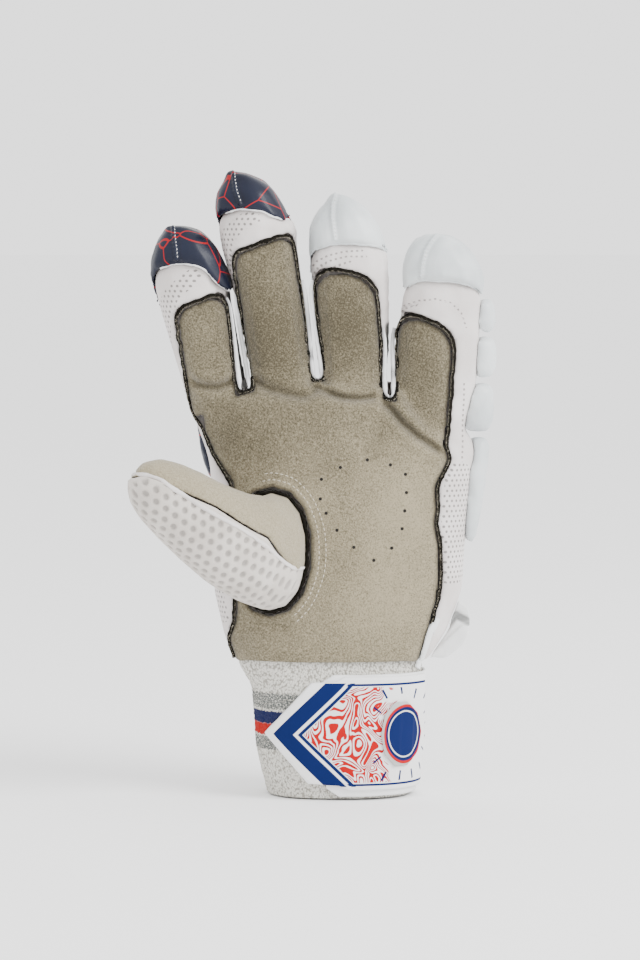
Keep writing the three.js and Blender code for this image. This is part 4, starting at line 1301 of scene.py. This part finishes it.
# %% [markdown]
# ## Padded rolls and finger caps
# Each roll is a leather tube over foam, and each cap a moulded dome. Cloth simulation with a little
# pressure inside swells them as stuffing does. They are set going together, the frames are stepped once,
# and no point may move further than a cap in millimetres, so a pad never leaves its place.

# %% The padded pieces
ROLLS = [f"{finger}_{part}" for finger in FINGERS for part in
         ("roll_base", "roll_mid", "hand_roll_lower", "hand_roll_upper")]
BARS = ["side_bar_tip", "side_bar_mid", "side_bar_base", "side_bar_hand", "thumb_pad_base", "thumb_pad_tip"]
CAPS = [f"{finger}_cap" for finger in FINGERS]
PADS = {}
for name in ROLLS + BARS + CAPS:
    pad = even_skin(copy_of(f"{name}_pad", name), 0.8 if name in CAPS else 1.5)
    start = points_of(pad)
    start = relaxed(start, edges_of(pad), 10 if name in CAPS else 5)
    place_points(pad, start)
    place_points(pad, start - normals_of(pad) * 0.2)
    PADS[name] = (pad, points_of(pad))
print("padded pieces:", len(PADS))

# %% [markdown]
# Every pad fills at once, and its moves are then limited.

# %% Swelling them with cloth simulation
SWELL_CAP = 1.1
CLOTH_FRAMES = 20


def start_filling(pad):
    filling = pad.modifiers.new("Filling", "CLOTH")
    settings = filling.settings
    settings.quality = 5
    settings.mass = 0.002
    settings.tension_stiffness = 4.0
    settings.compression_stiffness = 4.0
    settings.shear_stiffness = 2.0
    settings.bending_stiffness = 0.2
    settings.use_pressure = True
    settings.uniform_pressure_force = 4.0
    settings.effector_weights.gravity = 0.0
    filling.collision_settings.use_collision = False


for pad, _ in PADS.values():
    start_filling(pad)
for number in range(1, CLOTH_FRAMES + 1):
    bpy.context.scene.frame_set(number)
for pad, before in PADS.values():
    select_only(pad)
    bpy.ops.object.modifier_apply(modifier="Filling")
    moved = points_of(pad) - before
    length = lengths_of(moved)
    limit = np.minimum(length, SWELL_CAP) / np.maximum(length, 1e-6)
    place_points(pad, relaxed(before + moved * limit[:, None], edges_of(pad), 2))
    print(pad.name, "swelled at most, mm:", round(float(length.max()), 2))
bpy.context.scene.frame_set(1)

# %% [markdown]
# One level of subdivision rounds the pads, and long low folds make the leather over the foam uneven.

# %% Finishing the rolls
def subdivided(piece):
    finer = piece.modifiers.new("Finer", "SUBSURF")
    finer.levels = finer.render_levels = 1
    select_only(piece)
    bpy.ops.object.modifier_apply(modifier=finer.name)
    return piece


def dressed_pad(pad, navy, name):
    stands_for(pad, NAVY if navy else COOL_WHITE, "navy_leather" if navy else "white_leather", name)


for name in ROLLS + BARS:
    pad = subdivided(PADS[name][0])
    points = points_of(pad)
    folds = 0.25 * lumps(points, 7.0, 1.0) + 0.12 * lumps(points, 2.6, 9.0)
    points += normals_of(pad) * folds[:, None]
    if name.startswith("side_bar"):
        points[:, 0] -= 0.9
    place_points(pad, points)
    dressed_pad(pad, name in ("index_hand_roll_lower", "index_hand_roll_upper"), name)

# %% [markdown]
# A cap is sewn from two panels, and their seam runs down its front from the pointed tip. The skin rises
# to a fine ridge there and puckers at every stitch, and the stitches themselves are short rods of thread.

# %% Caps with their front seams
CAP_SEAMS = {
    "index": seen_line((173, 223), (174, 236), (176, 249), (177, 260)),
    "middle": seen_line((233, 168), (234, 180), (236, 192), (241, 206)),
    "ring": seen_line((336, 190), (332, 205), (331.5, 218), (334.5, 240)),
    "little": seen_line((437.5, 233), (430, 242), (424, 252), (421, 265), (420, 278)),
}


CAP_PULLS = {
    "index": (((219, 262), (225, 272), 6.0, 0.0), ((225, 274), (229, 287), 5.0, 0.5)),
    "middle": (((280, 203), (283, 210), 6.0, 0.0), ((284, 212), (288, 221), 5.0, 0.5),
               ((219, 196), (215, 195), 8.0, 0.0)),
    "ring": (((310, 220), (306.5, 219), 8.0, 0.0),),
}


for finger, seam in CAP_SEAMS.items():
    name = f"{finger}_cap"
    pad = subdivided(PADS[name][0])
    points = points_of(pad)
    solid_tip = np.array(max((v.co for v in nodes[name].data.vertices), key=lambda co: co.z)) / MM
    tip = points[points[:, 2].argmax()]
    seen_tip = np.array([seam[0][0] - 0.4, solid_tip[1], seam[0][1] - 1.6])
    points += (seen_tip - tip) * hill(lengths_of(points - tip), 6.0)[:, None]
    seam = spaced(seam, 0.4)
    normals = normals_of(pad)
    if finger in CAP_PULLS:
        points = pulled(points, *CAP_PULLS[finger])
    away = distance_to_line(points[:, [0, 2]], seam)
    front = smoothstep(-normals[:, 1], -0.1, 0.35)
    ridge = 0.5 * hill(away, 0.7) - 0.38 * hill(away - 1.5, 0.9)
    swell = 0.5 * smoothstep(away, 2.0, 6.0)
    pucker = 0.12 * np.sin(points[:, 2] * 2 * math.pi / 1.75) * hill(away, 2.0)
    folds = 0.16 * lumps(points, 6.5, 3.0)
    points += normals * (front * (ridge + pucker + swell) + folds)[:, None]
    place_points(pad, points)
    navy = finger in ("index", "middle")
    dressed_pad(pad, navy, name)
    line = evened(seam, 3) + np.array([0.75, 0.0])
    path, fronts = first_met([tree_of_piece(pad)], line[3:])
    path = path + fronts * STITCH_LIFT
    stitches = rod_stitches(f"{finger}_cap_stitches", path, fronts, 1.7, 0.75, 0.45)
    stands_for(stitches, WHITE_THREAD, "white_leather")
    trees = [tree_of_piece(pad), tree_of_piece(STALLS[finger][0] if finger in STALLS else shell)]
    placed = points_of(pad)
    around = border_between(trees[0], trees[1], placed.min(0)[[0, 2]], placed.max(0)[[0, 2]])
    around = evened(spaced(evened(around, 2)), 6)
    border_path, ways = first_met(trees, around)
    ways = unit(evened(ways, 12))
    border_path[:, 1] = evened(border_path[:, 1], 10)
    wide, welt_leather = (0.5, WHITE) if navy else (0.75, COOL_WHITE)
    laid(f"{finger}_cap_welt", welt_leather, "white_leather", border_path, ways, wide, 0.45, False, wander=0.5, sides=8)

# %% [markdown]
# ## The knitted cuff
# The cuff is looped towelling, pulled into a tube. Rays cast at its solid give a radius for every height
# and direction, and smoothing that table takes the facets out. The same table later bends the strap and
# its badge, so that all three stay one above the other.

# %% The cuff's smooth radius
cuff_middle = np.array([(cuff_low[0] + cuff_high[0]) / 2, (cuff_low[1] + cuff_high[1]) / 2]) / MM
cuff_top = cuff_high[2] / MM
TURNS, LEVELS = 360, 90
level_at = np.linspace(0.25, cuff_top - 0.25, LEVELS)
turn_at = np.linspace(-math.pi, math.pi, TURNS, endpoint=False)


def cuff_table():
    solid = tree_of("cuff")
    table = np.full((LEVELS, TURNS), np.nan)
    for i, level in enumerate(level_at):
        for k, angle in enumerate(turn_at):
            way = Vector((math.sin(angle), -math.cos(angle), 0.0))
            start = Vector((cuff_middle[0] * MM, cuff_middle[1] * MM, level * MM)) + way * 0.12
            hit = solid.ray_cast(start, -way, 0.12)
            if hit[0] is not None:
                table[i, k] = 120.0 - hit[3] / MM
    known = np.nanmean(table, axis=0)
    return np.where(np.isnan(table), known, table)


def blurred(table, turns, levels):
    for _ in range(turns):
        table = 0.5 * table + 0.25 * (np.roll(table, 1, axis=1) + np.roll(table, -1, axis=1))
    for _ in range(levels):
        padded = np.vstack([table[:1], table, table[-1:]])
        table = 0.5 * table + 0.25 * (padded[:-2] + padded[2:])
    return table


faceted = cuff_table()
smooth = blurred(faceted, 70, 3)
print("cuff radius, mm:", smooth.min().round(1), "to", smooth.max().round(1))


def from_table(table, angle, level):
    row = np.clip((level - level_at[0]) / (level_at[-1] - level_at[0]) * (LEVELS - 1), 0, LEVELS - 1.001)
    column = ((angle + math.pi) / (2 * math.pi) * TURNS) % TURNS
    r0, c0 = row.astype(int), column.astype(int) % TURNS
    fr, fc = row - r0, column - column.astype(int)
    c1 = (c0 + 1) % TURNS
    low = table[r0, c0] * (1 - fc) + table[r0, c1] * fc
    high = table[r0 + 1, c0] * (1 - fc) + table[r0 + 1, c1] * fc
    return low * (1 - fr) + high * fr


def round_the_cuff(points):
    gap = points[:, :2] - cuff_middle
    return np.arctan2(gap[:, 0], -gap[:, 1]), np.hypot(gap[:, 0], gap[:, 1])


def arc_table():
    middle = smooth[LEVELS // 2]
    x, y = middle * np.sin(turn_at), -middle * np.cos(turn_at)
    steps = np.hypot(np.diff(x, append=x[0]), np.diff(y, append=y[0]))
    arc = np.concatenate([[0.0], np.cumsum(steps)])
    zero = np.interp(0.0, np.append(turn_at, math.pi), arc)
    return arc - zero


ARC = arc_table()


def arc_of(angle):
    return np.interp(angle, np.append(turn_at, math.pi), ARC)


# %% [markdown]
# Towelling is a field of small loops. The real skin gets their bumps, about a millimetre each. The coloured
# bands are drawn by height, and a little noise breaks up their edges.

# %% The cuff's knitted tube
BANDS = ((46.0, 39.0, "grey"), (37.9, 32.4, "navy"), (32.4, 27.3, "red"), (26.6, 20.8, "grey"))
BAND_PAINT = {"grey": paint(0.105, 0.113, 0.108), "navy": paint(0.0025, 0.007, 0.055), "red": paint(0.36, 0.006, 0.004)}
CUFF_THICK = 2.3


def build_knit():
    material, tree = new_material("Cuff towelling", 0.95, specular=0.05)
    wrap = read_map(tree, "wrap", "Vector")
    loops = 1.0 - cell_distance(vector_node("MULTIPLY", wrap, (1.0, 0.8, 1.0)), 1.25)
    height = parts_of(wrap)[1] + (noise_value(wrap, 0.9, 2.0, 0.7) - 0.5) * 2.2
    colour = mixed(ramp(loops, 0.2, 0.6), paint(0.30, 0.285, 0.25), paint(0.65, 0.63, 0.575))
    for top, bottom, name in BANDS:
        band = between(height, bottom, top, 0.25)
        salted = name == "grey"
        band = band * (ramp(noise_value(wrap, 1.3, 1.0, 0.6), 0.38, 0.56, 0.25, 1.0) if salted else 0.97)
        colour = mixed(band, colour, BAND_PAINT[name])
    return finished(material, colour, loops, 0.5, 0.9)


def cuff_rings():
    around = np.linspace(-math.pi, math.pi, 440, endpoint=False)
    rings, wraps = [], []

    def ring(level, inset, relief):
        radius = from_table(smooth, around, np.full(len(around), level)) - inset
        arc = arc_of(around)
        wraps.append(columns(arc, level, 0.0))
        if relief:
            radius = radius + relief * lumps(wraps[-1], 1.15, 2.0) + 0.35 * lumps(wraps[-1], 16.0, 7.0)
        x = cuff_middle[0] + radius * np.sin(around)
        y = cuff_middle[1] - radius * np.cos(around)
        rings.append(columns(x, y, level))

    ring(0.35, 1.9, 0.0)
    ring(0.0, 1.3, 0.0)
    ring(0.1, 0.6, 0.0)
    for level in np.arange(0.7, cuff_top - 0.9, 0.5):
        ring(level, 0.15, 0.42)
    ring(cuff_top - 0.45, 0.5, 0.0)
    ring(cuff_top - 0.1, CUFF_THICK / 2, 0.0)
    ring(cuff_top - 0.6, CUFF_THICK, 0.0)
    for level in np.arange(cuff_top - 4.0, 4.0, -5.0):
        ring(level, CUFF_THICK, 0.0)
    return rings, np.vstack(wraps)


KNIT = build_knit()
rings, wraps = cuff_rings()
cuff = built("towelling_cuff", np.vstack(rings), tube_faces(len(rings), len(rings[0]), True))
write_map(cuff, "wrap", wraps)
stands_for(cuff, KNIT, "knit", "cuff")

# %% [markdown]
# ## Strap and badge
# The strap is a soft vinyl tab that laps the cuff from the right. Its badge is a printed panel, and its
# print is drawn by the material from distances: how far a point lies inside the pointed end, and how high.

# %% Bending flat pieces to the smooth cuff
def bent_to_cuff(piece):
    points = points_of(piece)
    angle, radius = round_the_cuff(points)
    change = from_table(smooth, angle, points[:, 2]) - from_table(faceted, angle, points[:, 2])
    moved = (radius + change) / np.maximum(radius, 1e-6)
    points[:, :2] = cuff_middle + (points[:, :2] - cuff_middle) * moved[:, None]
    place_points(piece, points)
    return piece


def art_map(piece):
    points = points_of(piece)
    angle, _ = round_the_cuff(points)
    write_map(piece, "art", columns(arc_of(angle), points[:, 2], 0.0))


def build_vinyl():
    material, tree = new_material("Strap vinyl", 0.45, coat=0.1, specular=0.45)
    grain = apply_group(GRAIN, millimetres(tree), Pebble=0.45, Folds=0.2)
    colour = mixed(ramp(grain["Tint"], 0.3, 0.7), paint(0.74, 0.74, 0.735), paint(0.84, 0.84, 0.84))
    return finished(material, colour, grain["Height"], 0.06, 0.5)


STRAP_VINYL = build_vinyl()
strap = bent_to_cuff(even_skin(copy_of("wrist_strap", "strap"), 0.75))
points = relaxed(points_of(strap), edges_of(strap), 4)
place_points(strap, points)
folds = 0.30 * lumps(points, 12.0, 4.0) + 0.08 * lumps(points, 3.0, 2.0)
place_points(strap, points + normals_of(strap) * folds[:, None])
stands_for(strap, STRAP_VINYL, "strap_cloth", "strap")

# %% [markdown]
# All of the print is measured from the badge's tip: along the arc, up and down, and square to the slanted
# edge.

# %% The badge's print
badge_tip = min((v.co for v in nodes["strap_badge"].data.vertices), key=lambda co: co.x)
tip_angle = math.atan2(badge_tip.x / MM - cuff_middle[0], -(badge_tip.y / MM - cuff_middle[1]))
TIP_ARC = float(arc_of(np.array([tip_angle]))[0])
BADGE_LEVEL = badge_tip.z / MM
print("badge tip at, mm:", round(TIP_ARC, 1), round(BADGE_LEVEL, 1))


PRINT_WHITE, PRINT_NAVY, PRINT_RED = paint(0.80, 0.80, 0.80), paint(0.0035, 0.011, 0.075), paint(0.40, 0.004, 0.006)
ROUNDEL_ARC, RAY_COUNT = 57.0, 17


def contour_strokes(flat):
    hills = noise_value(vector_node("MULTIPLY", flat, (1.0, 0.7, 0.0)), 0.075, 1.4, 0.42, 1.1)
    contour = abs(math_node("FRACT", hills * 24.0) - 0.5)
    return ramp(contour - (noise_value(flat, 0.17, 2.0, 0.6) * 0.44 + 0.02), -0.03, 0.03)


def rays_round(dx, dz):
    angle = math_node("ARCTAN2", dz, dx) / (2 * math.pi / RAY_COUNT)
    ray = abs(math_node("FRACT", angle) - 0.5)
    off = math_node("SQRT", math_node("POWER", dx, 2.0) + math_node("POWER", dz * 0.85, 2.0))
    reach = off + math_node("SINE", math_node("FLOOR", angle) * 2.4) * 1.6
    return ramp(ray, 0.075, 0.05) * between(reach, 14.8, 18.6)


def build_badge():
    material, tree = new_material("Printed badge", 0.6, specular=0.08)
    art = read_map(tree, "art", "Vector")
    across, up, _ = parts_of(art)
    along, rise = across - TIP_ARC, up - BADGE_LEVEL
    high = abs(rise)
    slant = along * 0.742 - high * 0.670
    flat = vector_node("MULTIPLY", art, (1.0, 1.0, 0.0))
    field = ramp(slant, 12.3, 12.6) * ramp(high, 21.2, 20.9)
    fade = ramp(along + (noise_value(flat, 0.085, 2.0, 0.6) - 0.5) * 22.0, 50.0, 49.0)
    colour = mixed(contour_strokes(flat) * field * fade, PRINT_WHITE, PRINT_RED)
    rays = rays_round(along - ROUNDEL_ARC, rise) * ramp(along, 42.0, 43.0) * ramp(high, 20.8, 20.5)
    rows = between(high, 21.5, 22.5) * ramp(slant, 10.0, 10.4)
    for share in (rays, rows, between(slant, 3.2, 9.4), between(slant, 10.7, 12.1)):
        colour = mixed(share, colour, PRINT_NAVY)
    return finished(material, mixed(ramp(high, 22.7, 22.9), colour, PRINT_WHITE))


BADGE_PRINT = build_badge()
badge = bent_to_cuff(even_skin(copy_of("printed_badge", "strap_badge"), 0.55))
place_points(badge, relaxed(points_of(badge), edges_of(badge), 3))
art_map(badge)
stands_for(badge, BADGE_PRINT, "badge_vinyl", "strap_badge")

# %% [markdown]
# The roundel is an oval disc with a raised rim. Its rings are drawn by the way in from that rim.

# %% The raised roundel
def build_roundel():
    material, tree = new_material("Moulded roundel", 0.55, specular=0.1)
    rim = read_map(tree, "rim")
    colour = mixed(between(rim, 3.0, 3.5), PRINT_NAVY, paint(0.70, 0.70, 0.70))
    colour = mixed(ramp(rim, 1.9, 1.7), colour, paint(0.42, 0.006, 0.008))
    return finished(material, mixed(ramp(rim, 0.95, 0.75), colour, paint(0.42, 0.42, 0.41)))


ROUNDEL_PAINT = build_roundel()
roundel = bent_to_cuff(even_skin(copy_of("badge_roundel_disc", "badge_roundel"), 0.35))
points = relaxed(points_of(roundel), edges_of(roundel), 3)
angle, radius = round_the_cuff(points)
flat = columns(arc_of(angle), points[:, 2])
disc_middle = (flat.min(0) + flat.max(0)) / 2
disc_reach = (flat.max(0) - flat.min(0)) / 2
share = lengths_of((flat - disc_middle) / disc_reach)
rim = (1.0 - share) * disc_reach.min() * 1.15
outward = columns(np.sin(angle), -np.cos(angle), 0.0)
facing = smoothstep((normals_of(roundel) * outward).sum(1), 0.3, 0.8)
relief = 0.35 * (smoothstep(rim, 0.5, 0.9) - smoothstep(rim, 1.7, 2.1))
points += outward * (relief * facing)[:, None]
place_points(roundel, points)
write_map(roundel, "rim", rim)
stands_for(roundel, ROUNDEL_PAINT, "roundel_rubber", "badge_roundel")

# %% [markdown]
# The wrist flap is a short folded end of white leather at the little finger's side. Its two lips are
# relaxed into soft folds.

# %% The wrist flap
SLIT_MOUTH = seen_line((469, 625), (457, 618), (447, 631), (438, 642))
SLIT_FOOT = seen_line((438, 642), (426, 653), (414, 670))
flap = even_skin(copy_of("folded_wrist_flap", "wrist_flap"), 0.6)
points = relaxed(points_of(flap), edges_of(flap), 4)
seen = points[:, [0, 2]]
slit = np.minimum(distance_to_line(seen, SLIT_MOUTH) / 2.0, distance_to_line(seen, SLIT_FOOT) / 0.7)
points[:, 1] += 2.0 * (1.0 - smoothstep(slit, 0.4, 1.2))
write_map(flap, "shade", 0.62 * (1.0 - smoothstep(slit, 0.5, 1.15)))
points += normals_of(flap) * (0.4 * lumps(points, 8.0, 5.0) + 0.15 * lumps(points, 2.5, 1.0))[:, None]
place_points(flap, points)
stands_for(flap, FLAP_WHITE, "white_leather", "wrist_flap")
strip_line = evened(spaced(seen_line((437, 617), (433, 627), (427, 641), (422, 656), (416, 671))), 6)
strip_path, strip_ways = first_met([tree_of_piece(piece) for piece in (shell, palm, cuff, flap)], strip_line)
strip_path[:, 1] = evened(strip_path[:, 1], 12)
strip_ways = unit(evened(strip_ways, 30))
strip_path = strip_path + strip_ways * 0.5
flap_hem = laid(
    "wrist_flap_hem", FLAP_WHITE, "white_leather", strip_path, strip_ways, 1.9, 0.9, False, wander=0.1, sides=12
)
write_map(flap_hem, "shade", np.zeros(len(points_of(flap_hem))))

# %% [markdown]
# ## Stage, light and camera
# A wide plane of pale paper carries the glove. Bright air lights it from all sides, and one large soft light
# from the upper right gives the forms their gentle shade.

# %% The sweep and the lights
PAPER_SIZE = 60.0
AIR_STRENGTH = 2.05
KEY_SIZE, KEY_POWER, KEY_PLACE = 0.9, 34.0, (1.2, -0.7, 1.1)
GLOVE_MIDDLE = (0.0, 0.0, 0.13)
bpy.ops.object.select_all(action="DESELECT")
bpy.ops.mesh.primitive_plane_add(size=1.0, location=(0.0, 0.0, -0.0006))
sweep = bpy.context.active_object
sweep.name = "paper_sweep"
sweep.scale = (PAPER_SIZE, PAPER_SIZE, 1.0)
bpy.ops.object.transform_apply(location=False, rotation=False, scale=True)
paper = finished(new_material("Studio paper", 1.0, specular=0.0)[0], paint(0.955, 0.955, 0.955))
sweep.data.materials.append(paper)


world = bpy.data.worlds.new("Studio air")
bpy.context.scene.world = world
world.use_nodes = True
world.node_tree.nodes["Background"].inputs["Color"].default_value = (1.0, 1.0, 1.0, 1.0)
world.node_tree.nodes["Background"].inputs["Strength"].default_value = AIR_STRENGTH
light = bpy.data.lights.new("key", "AREA")
light.shape = "DISK"
light.size = KEY_SIZE
light.energy = KEY_POWER
key = bpy.data.objects.new("key", light)
bpy.context.scene.collection.objects.link(key)
key.location = KEY_PLACE
key.rotation_euler = (Vector(GLOVE_MIDDLE) - Vector(KEY_PLACE)).to_track_quat("-Z", "Y").to_euler()
print("lights:", light.name)

# %% [markdown]
# The camera looks level at the palm from a long way off, a little from above, as the photograph does.

# %% The camera
AIM = Vector((0.0018, 0.0, 0.140))
FRAME_HEIGHT = 0.4220
DISTANCE = 1.6
RISE = math.radians(4.0)
SENSOR = 24.0
camera_data = bpy.data.cameras.new("photo_camera")
camera_data.sensor_fit = "VERTICAL"
camera_data.sensor_height = SENSOR
camera_data.lens = SENSOR * DISTANCE / FRAME_HEIGHT
camera = bpy.data.objects.new("photo_camera", camera_data)
bpy.context.scene.collection.objects.link(camera)
camera.location = AIM + Vector((0.0, -math.cos(RISE), math.sin(RISE))) * DISTANCE
camera.rotation_euler = (AIM - camera.location).to_track_quat("-Z", "Y").to_euler()
bpy.context.scene.camera = camera
